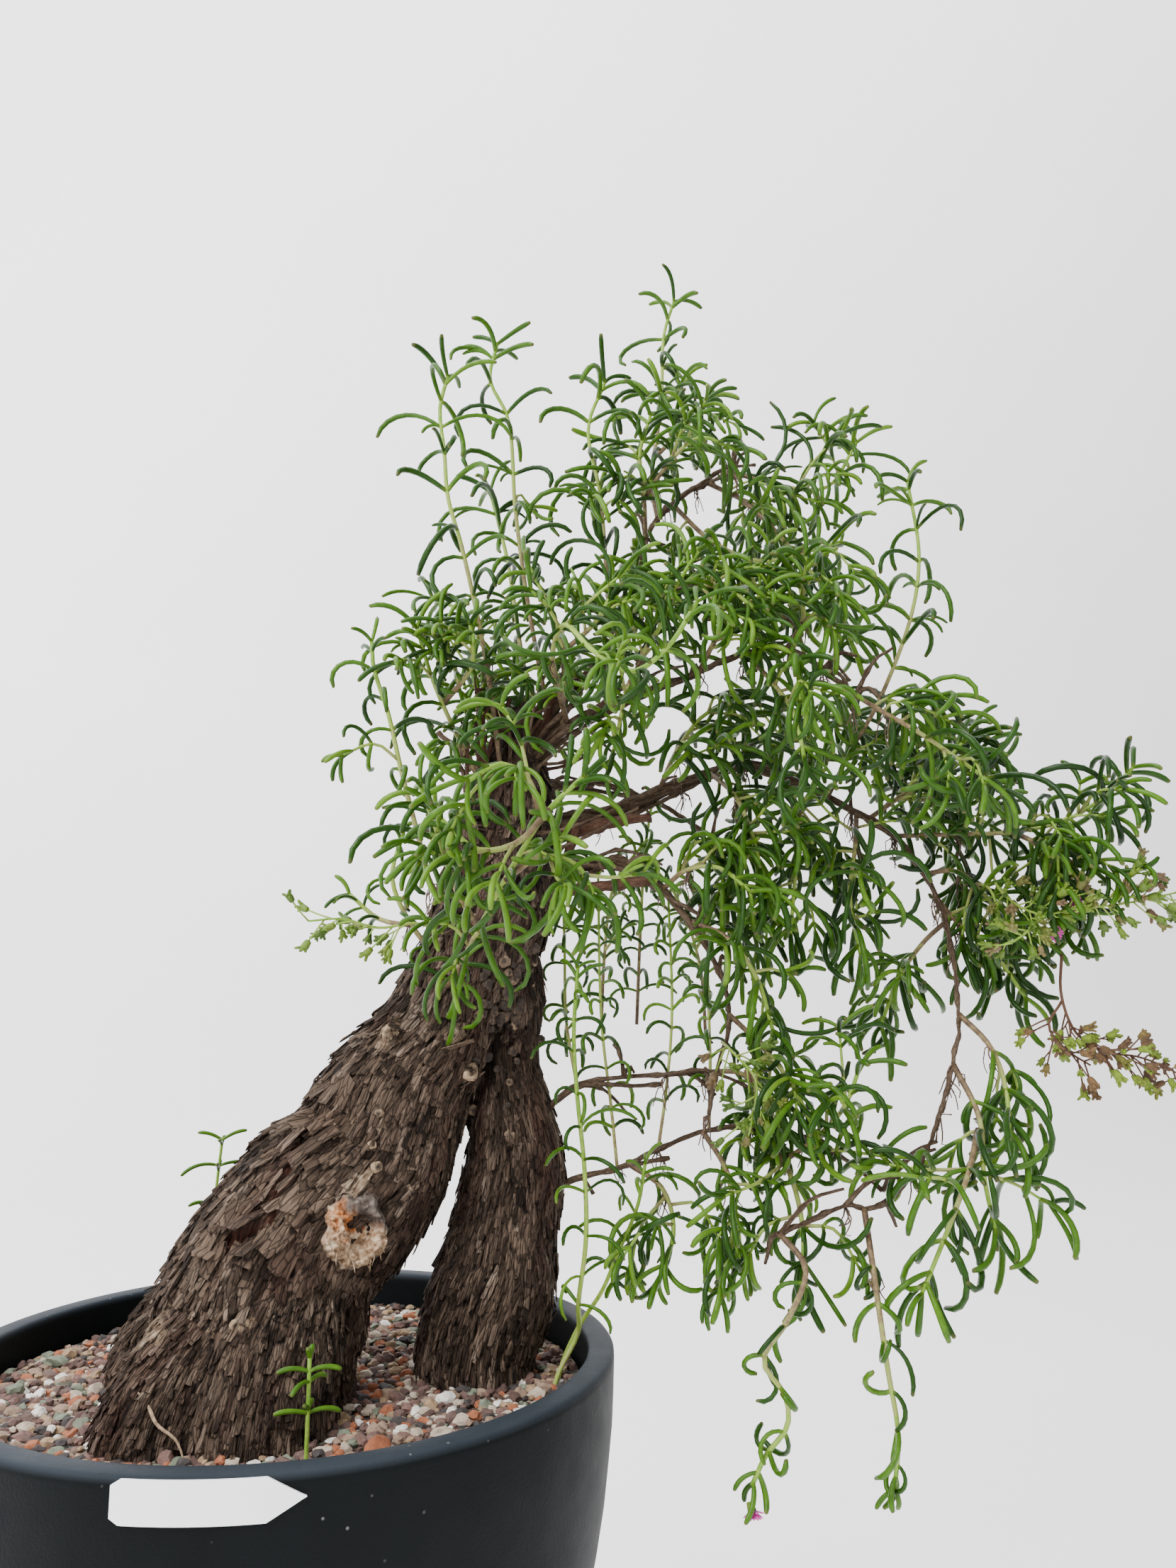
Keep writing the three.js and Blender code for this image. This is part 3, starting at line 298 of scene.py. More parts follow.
def stone_blank(detail):
    blank = bmesh.new()
    bmesh.ops.create_icosphere(blank, subdivisions=detail, radius=1)
    mesh = bpy.data.meshes.new("stone_blank")
    blank.to_mesh(mesh)
    blank.free()
    return mesh


def lay_stone(bm, blank, tone_layer, centre, size, tone, chance):
    """One stone: a rough ball squashed and turned at random, half sunk among its neighbours."""
    start = len(bm.verts)
    bm.from_mesh(blank)
    bm.verts.ensure_lookup_table()
    shape = Vector((chance.uniform(0.75, 1.3), chance.uniform(0.7, 1.1), chance.uniform(0.5, 0.85)))
    turn = Matrix.Rotation(chance.uniform(0, math.tau), 3, "Z") @ Matrix.Rotation(
        chance.uniform(-0.5, 0.5), 3, "X")
    shift = Vector((chance.random(), chance.random(), chance.random())) * 50
    for vert in bm.verts[start:]:
        dent = 1 + 0.5 * noise.noise(vert.co * 1.4 + shift)
        vert.co = centre + (turn @ (vert.co * shape)) * (size * dent * MM)
        vert[tone_layer] = tone


def make_stones(chance):
    small, large = stone_blank(1), stone_blank(2)
    bm = bmesh.new()
    tone_layer = bm.verts.layers.float.new("tone")
    count = int(GRIT_REACH / STONE_PITCH) + 1
    for i in range(-count, count + 1):
        for j in range(-count, count + 1):
            x = (i + (j % 2) / 2 + chance.uniform(-0.3, 0.3)) * STONE_PITCH
            y = (j * 0.87 + chance.uniform(-0.3, 0.3)) * STONE_PITCH
            size = chance.choice([1.3, 1.5, 1.7, 1.9, 2.2, 2.5, 3.0])
            if math.hypot(x, y) > GRIT_REACH - size:
                continue
            centre = Vector((x, y, GRIT_LEVEL + chance.uniform(-0.7, 1.1))) * MM
            blank = large if size > 1.8 else small
            lay_stone(bm, blank, tone_layer, centre, size, chance.random(), chance)
    for x, y, size, tone in [(17, -95, 4.6, 0.88), (38, -96, 4.2, 0.88), (30, -80, 4.8, 0.40),
                             (-97, 8, 4.4, 0.69), (-88, 40, 4.0, 0.69), (52, -72, 4.2, 0.5)]:
        centre = Vector((x, y, GRIT_LEVEL + 1.8)) * MM
        lay_stone(bm, large, tone_layer, centre, size, tone, chance)
    bpy.data.meshes.remove(small)
    bpy.data.meshes.remove(large)
    return bm


for node, finish in (("soil", soil_finish()), ("grit", gravel_bed_finish())):
    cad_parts[node].data.materials.clear()
    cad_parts[node].data.materials.append(finish)
stones = make_piece("loose_stones", make_stones(random.Random(7)), [stone_finish()])
stones.data.set_sharp_from_angle(angle=math.radians(24))

# Caudex. The swollen foot of the shrub, grown as one piece on two legs that meet in a narrow neck.
# Its bark is grey brown and splits into thin overlapping flakes that run along each leg, with knobs
# where old shoots broke off, a peeled cleft on the left and a healed wound in front.
LEFT_LIMBS = [
    ([(-16, -18, 160), (-11, -18, 176), (-11, -18, 196), (-5, -14.5, 218), (8.5, -9, 238), (27, -6, 258),
      (38, -3, 281), (54, 0, 305), (63, 2, 328), (73, 2, 349), (80, 2, 370)],
     [38, 36, 39, 35.5, 36, 32, 28.5, 24, 20, 21, 22]),
    ([(-50, 14, 160), (-46, 14, 178), (-39, 10, 200), (-26, 3, 218)], [17, 21, 16, 8]),
    ([(-41, -50, 160), (-41, -49, 176), (-32, -38, 194), (-18, -26, 216)], [22, 22, 20, 13]),
    ([(-10, -54, 160), (-10, -52, 176), (-6, -42, 194), (2, -28, 216)], [26, 26, 25.5, 20]),
]
RIGHT_LIMBS = [
    ([(73, -7, 160), (72, -5, 185), (79.5, -3, 211), (84, 0, 232), (88, 2, 254), (86, 3, 276),
      (84, 3, 299), (85, 3, 322), (82, 2, 345)], [22, 23, 25, 21.5, 21, 17, 13, 14.5, 13]),
]
MIDDLE_LIMBS = [
    ([(64, 4, 312), (67, 5, 288), (70, 6, 270)], [12, 10, 6]),
    ([(66, 2, 312), (71, 2, 332), (80, 2, 362), (83, 1, 390), (86, 0, 412), (87, 0, 432), (86, 0, 446)],
     [19, 22.5, 24, 22, 18, 11, 5]),
]
LIMBS = LEFT_LIMBS + RIGHT_LIMBS + MIDDLE_LIMBS
KNOTS = [
    (34.4, -20.3, 307.3, 4), (58.8, -23.7, 306.4, 4.4), (65.6, -19.7, 291.9, 4), (28, -37, 267, 2.8),
    (-25, -34, 240, 3.4), (41, -34, 251, 2.8), (60.7, -16.8, 344.2, 5), (86, -11, 306, 3.6),
    (82.6, -15.9, 266.8, 2.8), (-25, -51.8, 209.6, 2.6), (69, -12, 352, 5), (92, -14, 360, 5),
    (76, -20, 372, 5), (98, -10, 372, 5), (66, -14, 386, 5), (84, -20, 388, 5), (96, -8, 396, 4),
]
PALE_PLACES = [
    (34.4, -20.3, 307.3, 5), (58.8, -23.7, 306.4, 4.6), (65.6, -19.7, 291.9, 4), (-43.2, -43.9, 207.9, 6),
    (-43.4, -36, 214, 4.5), (-14.2, -56, 212.3, 4), (-14.5, -59.7, 207.9, 2), (22.5, -40, 255, 3.5),
]
CLEFT = [(11, -25, 283), (8.5, -24, 277.3), (3.6, -29, 270), (0.6, -35, 262.4), (-2.2, -38, 256.3),
         (-3.6, -41, 250.7), (-6.3, -44.6, 240.4), (-14.7, -43.4, 237.7), (-23.7, -39.4, 235.7)]
WOUND = Vector((23, -42, 239))
WOUND_OUT = Vector((0.3, -0.95, 0.08)).normalized()
BARK_VOXEL = 1.15
GRAIN_STRETCH = 4.2
SCALE_SIZE = 3.4
BARK_GIRTH = 30
FLAKES = 6200
PLATES = 46


def trace(route, step):
    """Evenly spaced points on a smooth curve through the points of a route, in metres."""
    knots = [Vector(point) * MM for point in route]
    padded = [2 * knots[0] - knots[1], *knots, 2 * knots[-1] - knots[-2]]
    dense = []
    for a, b, c, d in zip(padded, padded[1:], padded[2:], padded[3:]):
        first, middle, last = (max((q - p).length, 1e-9) ** 0.5 for p, q in ((a, b), (b, c), (c, d)))
        leave = ((b - a) / first - (c - a) / (first + middle) + (c - b) / middle) * middle
        arrive = ((c - b) / middle - (d - b) / (middle + last) + (d - c) / last) * middle
        dense += geometry.interpolate_bezier(b, b + leave / 3, c - arrive / 3, c, 16)[:-1]
    dense.append(knots[-1])
    reach = [0.0]
    for p, q in zip(dense, dense[1:]):
        reach.append(reach[-1] + (q - p).length)
    count = max(2, round(reach[-1] / (step * MM)))
    points, index = [], 0
    for i in range(count + 1):
        goal = reach[-1] * i / count
        while index < len(reach) - 2 and reach[index + 1] < goal:
            index += 1
        share = (goal - reach[index]) / max(reach[index + 1] - reach[index], 1e-9)
        points.append(dense[index].lerp(dense[index + 1], min(share, 1)))
    return points


def stations(points):
    """Matrices along a line of points, whose Z runs along it and which don't twist."""
    made, aside = [], None
    for i, point in enumerate(points):
        along = (points[min(i + 1, len(points) - 1)] - points[max(i - 1, 0)]).normalized()
        aside = along.orthogonal() if aside is None else aside - along * aside.dot(along)
        aside.normalize()
        matrix = Matrix((aside, along.cross(aside), along)).transposed().to_4x4()
        matrix.translation = point
        made.append(matrix)
    return made


def spread(values, count):
    """A list of values drawn out evenly to count entries."""
    made = []
    for i in range(count):
        place = i / (count - 1) * (len(values) - 1)
        low = min(int(place), len(values) - 2)
        made.append(values[low] + (values[low + 1] - values[low]) * (place - low))
    return made


def sweep(bm, spots, radii, sides):
    """A closed round rod through the stations, with a radius in metres at each."""
    sized = [spot @ Matrix.Diagonal((r, r, 1, 1)) for spot, r in zip(spots, radii)]
    verts = bmesh.ops.create_circle(bm, cap_ends=True, radius=1, segments=sides, matrix=sized[0])["verts"]
    edges = list({edge for vert in verts for edge in vert.link_edges})
    for last, after in zip(sized, sized[1:]):
        grown = bmesh.ops.extrude_edge_only(bm, edges=edges)["geom"]
        verts = [item for item in grown if isinstance(item, bmesh.types.BMVert)]
        ring = set(verts)
        edges = [item for item in grown if isinstance(item, bmesh.types.BMEdge)
                 and item.verts[0] in ring and item.verts[1] in ring]
        bmesh.ops.transform(bm, matrix=after @ last.inverted(), verts=verts)
    bmesh.ops.contextual_create(bm, geom=edges)


limb_samples, limb_groups = [], []
for number, (route, radii) in enumerate(LIMBS):
    limb_points = trace(route, 2)
    limb_spots = stations(limb_points)
    limb_step = (limb_points[1] - limb_points[0]).length / MM
    for i, (spot, radius) in enumerate(zip(limb_spots, spread(radii, len(limb_spots)))):
        limb_samples.append((spot, radius, i * limb_step + 1000 * number))
        limb_groups.append((number >= len(LEFT_LIMBS)) + (number > len(LEFT_LIMBS)))
limb_groups = numpy.array(limb_groups)
sample_places = numpy.array([spot.translation for spot, _, _ in limb_samples]) / MM
sample_radii = numpy.array([radius for _, radius, _ in limb_samples])


def nearest_limb(places):
    """For each place in mm, the closest sample of a limb, and how far the limbs' surfaces are:
    the closest of all, and the farther one of the two legs."""
    best, depth, between = [], [], []
    for chunk in numpy.array_split(places, max(1, len(places) // 4000)):
        gap = numpy.linalg.norm(chunk[:, None, :] - sample_places[None], axis=2) - sample_radii
        best.append(gap.argmin(axis=1))
        depth.append(gap.min(axis=1))
        between.append(numpy.maximum(gap[:, limb_groups == 0].min(axis=1), gap[:, limb_groups == 1].min(axis=1)))
    return numpy.concatenate(best), numpy.concatenate(depth), numpy.concatenate(between)


def grain_place(place, sample):
    """Where a point of the bark lies in its limb's own grain: round the limb, and along it."""
    spot, _, offset = limb_samples[sample]
    local = spot.inverted() @ (place * MM) / MM
    angle = math.atan2(local.y, local.x)
    along = (offset + local.z) / GRAIN_STRETCH
    return Vector((BARK_GIRTH * math.cos(angle), BARK_GIRTH * math.sin(angle), along))


def bark_height(at):
    """Height of the bark's scales in mm, the depth of the split beside them and the scale's tone."""
    gaps, cells = noise.voronoi(at / SCALE_SIZE)
    split = min((gaps[1] - gaps[0]) / 0.28, 1)
    scale = noise.noise(cells[0] * 5.3)
    lift = max(-0.6, min(0.6, cells[0].z - at.z / SCALE_SIZE))
    swell = noise.fractal(at / 19, 0.8, 2.1, 4)
    fibre = noise.noise(Vector((at.x / 0.9, at.y / 0.9, at.z / 2.2)))
    height = 0.7 * split ** 0.6 + 0.6 * scale + 0.7 * lift + 1.4 * swell + 0.25 * fibre
    return height - 0.9, split, 0.5 + 0.5 * scale


def from_cleft(place):
    """Distance in mm from the line of the cleft."""
    nearest = 99.0
    for start, end in zip(CLEFT, CLEFT[1:]):
        foot, share = geometry.intersect_point_line(place, Vector(start), Vector(end))
        foot = Vector(start).lerp(Vector(end), max(0, min(1, share)))
        nearest = min(nearest, (place - foot).length)
    return nearest


def paleness(place):
    """How much a point of the bark lies in pale torn or healed tissue."""
    most = 0.0
    for x, y, z, radius in PALE_PLACES:
        near = 1 - (place - Vector((x, y, z))).length / radius + 0.5 * noise.noise(place / 1.7)
        most = max(most, min(1, near * 2))
    return most


def make_caudex():
    rough = bmesh.new()
    for route, radii in LIMBS:
        spots = stations(trace(route, 5))
        sweep(rough, spots, [radius * MM for radius in spread(radii, len(spots))], 28)
    for x, y, z, radius in KNOTS:
        bmesh.ops.create_icosphere(rough, subdivisions=2, radius=radius * MM,
                                   matrix=Matrix.Translation(Vector((x, y, z)) * MM))
    bmesh.ops.recalc_face_normals(rough, faces=rough.faces)
    mesh = bpy.data.meshes.new("rough_caudex")
    rough.to_mesh(mesh)
    rough.free()
    body = bpy.data.objects.new("rough_caudex", mesh)
    bpy.context.scene.collection.objects.link(body)
    remesh = body.modifiers.new("whole", "REMESH")
    remesh.mode = "VOXEL"
    remesh.voxel_size = BARK_VOXEL * MM
    smooth = body.modifiers.new("soften", "SMOOTH")
    smooth.iterations = 5
    whole = bpy.data.meshes.new_from_object(body.evaluated_get(bpy.context.evaluated_depsgraph_get()))
    bpy.data.objects.remove(body)
    bpy.data.meshes.remove(mesh)
    return whole


def vectors_of(mesh, name):
    values = numpy.empty(len(mesh.vertices) * 3, numpy.float32)
    mesh.vertices.foreach_get(name, values)
    return values.reshape(-1, 3)


def carve_bark(mesh):
    """Raises the scales of the bark and notes its grain, splits, cleft and scars for the finish; between the legs it
    sinks the bark and sets the split to nothing, which the finish paints as shade in the crotch.
    """
    count = len(mesh.vertices)
    places, normals = vectors_of(mesh, "co") / MM, vectors_of(mesh, "normal")
    samples, _, between = nearest_limb(places)
    along = numpy.empty((count, 3), numpy.float32)
    split, tone, torn, scar = (numpy.zeros(count, numpy.float32) for _ in range(4))
    for i in range(count):
        place, normal = Vector(places[i]), Vector(normals[i])
        at = grain_place(place, samples[i])
        height, split[i], tone[i] = bark_height(at)
        # Between the legs the split falls to nothing, which the finish turns into painted shade of the crotch, and the
        # bark sinks there.
        if 250 < place.z < 335:
            parted = max(0.0, min(1, (between[i] + 0.5) / 7))
            split[i] *= parted
            height -= 2.6 * (1 - parted)
        cut = from_cleft(place) + 1.6 * noise.noise(place / 3)
        if cut < 7:
            torn[i] = max(0, min(1, (5.5 - cut) / 3))
            height = height * 0.6 - 3.6 * max(0, 1 - cut / 3.4) + 1.0 * max(0, 1 - abs(cut - 5) / 2)
        scar[i] = paleness(place)
        along[i] = at
        places[i] += normals[i] * height
    mesh.vertices.foreach_set("co", (places * MM).reshape(-1))
    mesh.attributes.new("grain", "FLOAT_VECTOR", "POINT").data.foreach_set("vector", along.reshape(-1))
    for name, values in (("split", split), ("tone", tone), ("torn", torn), ("scar", scar)):
        mesh.attributes.new(name, "FLOAT", "POINT").data.foreach_set("value", values)
    mesh.update()


def bark_finish():
    finish, tree, shader = new_finish("scaly_bark")
    at = add(tree, "Attribute", attribute_name="grain").outputs["Vector"]
    tone = add(tree, "Attribute", attribute_name="tone").outputs["Fac"]
    split = add(tree, "Attribute", attribute_name="split").outputs["Fac"]
    torn = add(tree, "Attribute", attribute_name="torn").outputs["Fac"]
    scar = add(tree, "Attribute", attribute_name="scar").outputs["Fac"]
    bent = add(tree, "TexNoise", {"Vector": at, "Scale": 0.5, "Detail": 2}).outputs["Color"]
    wavy = add(tree, "VectorMath", {0: at, 1: bent}, operation="ADD").outputs["Vector"]
    chips = add(tree, "TexVoronoi", {"Vector": wavy, "Scale": 0.62, "Randomness": 1.0},
                feature="DISTANCE_TO_EDGE").outputs["Distance"]
    chip_tone = add(tree, "TexVoronoi", {"Vector": wavy, "Scale": 0.62, "Randomness": 1.0})
    chip_pick = add(tree, "SeparateColor", {"Color": chip_tone.outputs["Color"]}).outputs["Red"]
    lengthways = add(tree, "Mapping", {"Vector": at, "Scale": (1, 1, 0.35)}).outputs[0]
    fibre = grain(tree, 2.2, lengthways, 8, 0.75)
    broad = grain(tree, 0.05, at, 5)
    base = ramp(tree, tone, [(0.0, 0.018, 0.011, 0.007), (0.35, 0.068, 0.045, 0.031),
                             (0.65, 0.158, 0.111, 0.080), (1.0, 0.320, 0.248, 0.192)])
    chipped = ramp(tree, chip_pick, [(0.1, 0.62, 0.60, 0.58), (0.9, 1.35, 1.33, 1.31)])
    base = blend(tree, 0.8, base, chipped, "MULTIPLY")
    streaks = ramp(tree, fibre, [(0.3, 0.42, 0.39, 0.37), (0.52, 1.0, 1.0, 1.0), (0.72, 1.8, 1.76, 1.72)])
    base = blend(tree, 0.9, base, streaks, "MULTIPLY")
    red = ramp(tree, broad, [(0.50, 0, 0, 0), (0.68, 0.5, 0.5, 0.5)])
    base = blend(tree, red, base, (0.105, 0.048, 0.036))
    # The edges of the chips are darkened almost to black: painted shade in the narrow gaps between the chips.
    edge = ramp(tree, chips, [(0.0, 0.06, 0.05, 0.04), (0.08, 1, 1, 1)])
    base = blend(tree, 0.85, base, edge, "MULTIPLY")
    # Splits between the scales, and the crotch between the legs, are darkened: painted shade in these recesses.
    split_shade = ramp(tree, split, [(0.05, 0.10, 0.09, 0.08), (0.45, 1, 1, 1)])
    base = blend(tree, 0.95, base, split_shade, "MULTIPLY")
    raw = ramp(tree, fibre, [(0.35, 0.018, 0.007, 0.005), (0.6, 0.105, 0.040, 0.026), (0.75, 0.20, 0.10, 0.06)])
    base = blend(tree, torn, base, raw)
    pale = ramp(tree, grain(tree, 330, detail=6), [(0.35, 0.10, 0.060, 0.038), (0.5, 0.36, 0.25, 0.16),
                                                   (0.7, 0.66, 0.54, 0.40)])
    base = blend(tree, scar, base, pale)
    tree.links.new(base, shader.inputs["Base Color"])
    shader.inputs["Roughness"].default_value = 0.9
    shader.inputs["Specular IOR Level"].default_value = 0.2
    ridge = ramp(tree, chips, [(0.0, 0, 0, 0), (0.16, 0.75, 0.75, 0.75), (0.5, 1, 1, 1)])
    raised = add(tree, "Math", {0: ridge, 1: fibre}, operation="ADD").outputs[0]
    relief(tree, shader, raised, 0.0012, 1.0)
    return finish


def caudex_piece():
    mesh = make_caudex()
    carve_bark(mesh)
    mesh.shade_smooth()
    mesh.materials.clear()
    mesh.materials.append(scaly_bark)
    mesh.name = "caudex"
    piece = bpy.data.objects.new("caudex", mesh)
    bpy.context.scene.collection.objects.link(piece)
    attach(piece, "root")
    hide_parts("tree")
    return mesh


def flake_blank():
    """A flat closed chip of bark, one unit long and wide, that each flake is shaped from."""
    bm = bmesh.new()
    bmesh.ops.create_grid(bm, x_segments=1, y_segments=2, size=0.5)
    grown = bmesh.ops.extrude_face_region(bm, geom=bm.faces[:])["geom"]
    bmesh.ops.translate(bm, vec=(0, 0, 1), verts=[item for item in grown if isinstance(item, bmesh.types.BMVert)])
    bmesh.ops.recalc_face_normals(bm, faces=bm.faces)
    mesh = bpy.data.meshes.new("flake_blank")
    bm.to_mesh(mesh)
    bm.free()
    return mesh


def flake_size(place, chance):
    """Width, length and lift of a flake in mm: fine low on the legs, longer strips on the right one."""
    if place.x > 55 and place.z < 300:
        return chance.uniform(1.2, 2.4), chance.uniform(6, 15), chance.uniform(0.3, 0.9)
    if place.z < 222:
        return chance.uniform(1.3, 2.6), chance.uniform(5, 10), chance.uniform(0.3, 1.1)
    return chance.uniform(1.6, 4.0), chance.uniform(6, 14), chance.uniform(0.4, 1.4)


def pick_flakes(mesh, chance):
    """Places, directions and sizes of loose flakes all over the bark, and of bigger plates by the cleft."""
    places, normals = vectors_of(mesh, "co") / MM, vectors_of(mesh, "normal")
    chosen = chance.sample(range(len(places)), FLAKES)
    beside = [i for i in range(0, len(places), 9)
              if 2.5 < from_cleft(Vector(places[i])) < 10 and normals[i][1] < 0]
    chosen += chance.sample(beside, min(PLATES, len(beside)))
    samples, _, between = nearest_limb(places[chosen])
    made = []
    for number, (index, sample) in enumerate(zip(chosen, samples)):
        place, normal = Vector(places[index]), Vector(normals[index])
        from_wound = (place - WOUND).length
        if place.z < 174 or place.z > 430 or from_wound < 13:
            continue
        width, length, lift = flake_size(place, chance)
        tone = 0.42 + 0.35 * noise.noise(place / 13) + chance.uniform(-0.32, 0.32)
        if number >= FLAKES:
            width, length, lift = chance.uniform(4, 8), chance.uniform(10, 20), chance.uniform(1.5, 3.6)
            tone = chance.uniform(0.35, 0.75)
        elif from_cleft(place) < 4.5:
            continue
        # Flakes deep between the legs are darkened to a third of their tone: painted shade of the crotch.
        if 255 < place.z < 325 and between[number] < 4:
            tone *= 0.3
        axis = limb_samples[sample][0].to_3x3().col[2]
        along = axis - normal * axis.dot(normal)
        if along.length < 0.2:
            continue
        along = Matrix.Rotation(0.5 * noise.noise(place / 9) + chance.uniform(-0.12, 0.12), 3, normal) @ along
        made.append((place, normal, along.normalized(), (width, length, lift), tone, sample))
    return made


def make_flakes(mesh, chance):
    blank = flake_blank()
    bm = bmesh.new()
    picked = pick_flakes(mesh, chance)
    grain_layer = bm.verts.layers.float_vector.new("grain")
    tone_layer, split_layer, scar_layer = (bm.verts.layers.float.new(name) for name in ("tone", "split", "scar"))
    for _ in picked:
        bm.from_mesh(blank)
    bm.verts.ensure_lookup_table()
    size = len(blank.vertices)
    for number, (place, normal, along, (width, length, lift), tone, sample) in enumerate(picked):
        across = along.cross(normal)
        pale = paleness(place) * 0.9
        bulge = chance.uniform(-0.2, 0.5)
        for vert in bm.verts[number * size:(number + 1) * size]:
            x, y, z = vert.co
            ragged = Vector((chance.uniform(-0.14, 0.14), chance.uniform(-0.1, 0.1), 0))
            rise = -0.7 + (lift + 0.7) * (0.5 - y) + bulge * (1 - 4 * y * y) + 0.45 * z
            offset = (across * ((x + ragged.x) * width * (1 - 0.3 * abs(y + 0.2)))
                      + along * ((y + ragged.y) * length) + normal * rise)
            vert[grain_layer] = grain_place(place + offset, sample)
            vert[tone_layer] = tone
            vert[split_layer] = 1
            vert[scar_layer] = pale
            vert.co = (place + offset) * MM
    bpy.data.meshes.remove(blank)
    return bm


scaly_bark = bark_finish()
bark_mesh = caudex_piece()
make_piece("bark_flakes", make_flakes(bark_mesh, random.Random(31)), [scaly_bark], ["tree"], smooth=False)

# Knobs. Short broken ends of old shoots crowd the neck and dot the legs, like burnt tan beads with
# a dark pit in the middle. A dry root strip lies across the foot of the left leg.
KNOBS = [
    (30.3, -33.2, 278.5, 1.7), (29.5, -38.3, 259.9, 2.4), (41.4, -34.2, 251.1, 2.2), (27.8, -36.6, 267.5, 1.9),
    (34.4, -21.5, 307.3, 3.2), (58.8, -24.5, 306.4, 3.8), (65.6, -20.4, 291.9, 3.6), (82.6, -16.2, 266.8, 2.3),
    (69.1, -3.5, 275.8, 2.4), (-25.2, -52.4, 209.6, 2.0), (-14.2, -56.4, 212.3, 2.2), (-17.6, -55.6, 212.6, 1.7),
    (-14.5, -60, 207.9, 1.3), (-25.6, -35, 240.1, 2.6), (60.7, -18, 344.2, 3.6), (-58, -56, 180, 3.0),
]
NECK_KNOBS = ((82, -12, 318), (15, 10, 30), 74)
ROOT_STRIP = [(-47, -60, 195), (-43, -64, 191.5), (-39.5, -69.5, 187.5), (-33, -73.5, 183.5),
              (-30, -76.5, 178)]


def knob_finish():
    finish, tree, shader = new_finish("broken_shoot_ends")
    tone = add(tree, "Attribute", attribute_name="tone").outputs["Fac"]
    pit = add(tree, "Attribute", attribute_name="pit").outputs["Fac"]
    mottle = ramp(tree, grain(tree, 700, detail=6), [(0.3, 0.45, 0.42, 0.40), (0.7, 1.5, 1.45, 1.4)])
    base = ramp(tree, tone, [(0.0, 0.040, 0.028, 0.021), (0.5, 0.13, 0.088, 0.058), (1.0, 0.36, 0.26, 0.165)])
    base = blend(tree, 1.0, base, mottle, "MULTIPLY")
    base = blend(tree, pit, base, (0.022, 0.014, 0.010))
    tree.links.new(base, shader.inputs["Base Color"])
    shader.inputs["Roughness"].default_value = 0.9
    relief(tree, shader, grain(tree, 900, detail=6), 0.0006, 0.9)
    return finish


def set_knob(bm, centre, outward, radius, tone):
    """A small rough ball with a pit on the side that faces out."""
    tone_layer, pit_layer = bm.verts.layers.float["tone"], bm.verts.layers.float["pit"]
    made = bmesh.ops.create_icosphere(bm, subdivisions=2, radius=1)["verts"]
    for vert in made:
        facing = vert.co.dot(outward)
        pit = max(0, (facing - 0.72) / 0.28)
        rough = 1 + 0.35 * noise.noise(vert.co * 1.6 + centre) - 0.3 * pit
        vert[tone_layer] = tone + 0.2 * noise.noise(vert.co * 2 + centre)
        vert[pit_layer] = min(1, pit * 1.6)
        vert.co = (centre + vert.co * rough * radius) * MM


def make_knobs(chance):
    bm = bmesh.new()
    tone_layer = bm.verts.layers.float.new("tone")
    bm.verts.layers.float.new("pit")
    for x, y, z, radius in KNOBS:
        outward = Vector((chance.uniform(-0.5, 0.5), -1, chance.uniform(-0.2, 0.6))).normalized()
        set_knob(bm, Vector((x, y, z)), outward, radius, chance.uniform(0.55, 0.95))
    middle, spreads, wanted = NECK_KNOBS
    while wanted:
        place = Vector(value + chance.gauss(0, 0.5) * reach for value, reach in zip(middle, spreads))
        place.y = -32
        room = 1
        while room > 0.2 and place.y < 0:
            room = nearest_limb(numpy.array([place[:]]))[1][0]
            place.y += max(0.1, room * 0.9)
        outward = Vector((chance.uniform(-0.4, 0.4), -1, chance.uniform(-0.3, 0.3))).normalized()
        set_knob(bm, place, outward, chance.uniform(1.1, 2.5), chance.choice([0.0, 0.1, 0.2, 0.3, 0.6]))
        wanted -= 1
    known = len(bm.verts)
    spots = stations(trace(ROOT_STRIP, 2))
    sweep(bm, spots, [radius * MM for radius in spread([0.3, 0.65, 0.5, 0.3], len(spots))], 6)
    bm.verts.ensure_lookup_table()
    for vert in bm.verts[known:]:
        vert[tone_layer] = 0.85
    bmesh.ops.recalc_face_normals(bm, faces=bm.faces)
    return bm


make_piece("bark_knobs", make_knobs(random.Random(32)), [knob_finish()], ["tree"])

# Wound. A round cut where a branch came off, healed into a raised crumbly collar of cream and
# orange tissue round a sunken middle, with grey bark fibres over its upper right and loose strands.
WOUND_RADIUS = 11.2
WOUND_CELLS = 62


def wound_finish():
    finish, tree, shader = new_finish("healed_wood")
    fray = add(tree, "Attribute", attribute_name="fray").outputs["Fac"]
    amber = add(tree, "Attribute", attribute_name="amber").outputs["Fac"]
    pit = add(tree, "Attribute", attribute_name="pit").outputs["Fac"]
    crumbs = grain(tree, 330, detail=8, roughness=0.7)
    cream = ramp(tree, crumbs, [(0.34, 0.07, 0.035, 0.018), (0.46, 0.34, 0.21, 0.12), (0.58, 0.62, 0.46, 0.31),
                                (0.72, 0.80, 0.72, 0.58)])
    orange = ramp(tree, crumbs, [(0.36, 0.13, 0.035, 0.010), (0.53, 0.48, 0.17, 0.05), (0.70, 0.72, 0.42, 0.22)])
    strands = grain(tree, 420, own_place(tree, (1, 1, 0.25)), 8, 0.7)
    grey = ramp(tree, strands, [(0.35, 0.028, 0.020, 0.016), (0.5, 0.11, 0.085, 0.070), (0.7, 0.28, 0.24, 0.205)])
    colour = blend(tree, amber, cream, orange)
    colour = blend(tree, fray, colour, grey)
    colour = blend(tree, pit, colour, (0.035, 0.018, 0.010))
    tree.links.new(colour, shader.inputs["Base Color"])
    shader.inputs["Roughness"].default_value = 0.9
    shader.inputs["Specular IOR Level"].default_value = 0.2
    relief(tree, shader, crumbs, 0.0012, 1.0)
    return finish


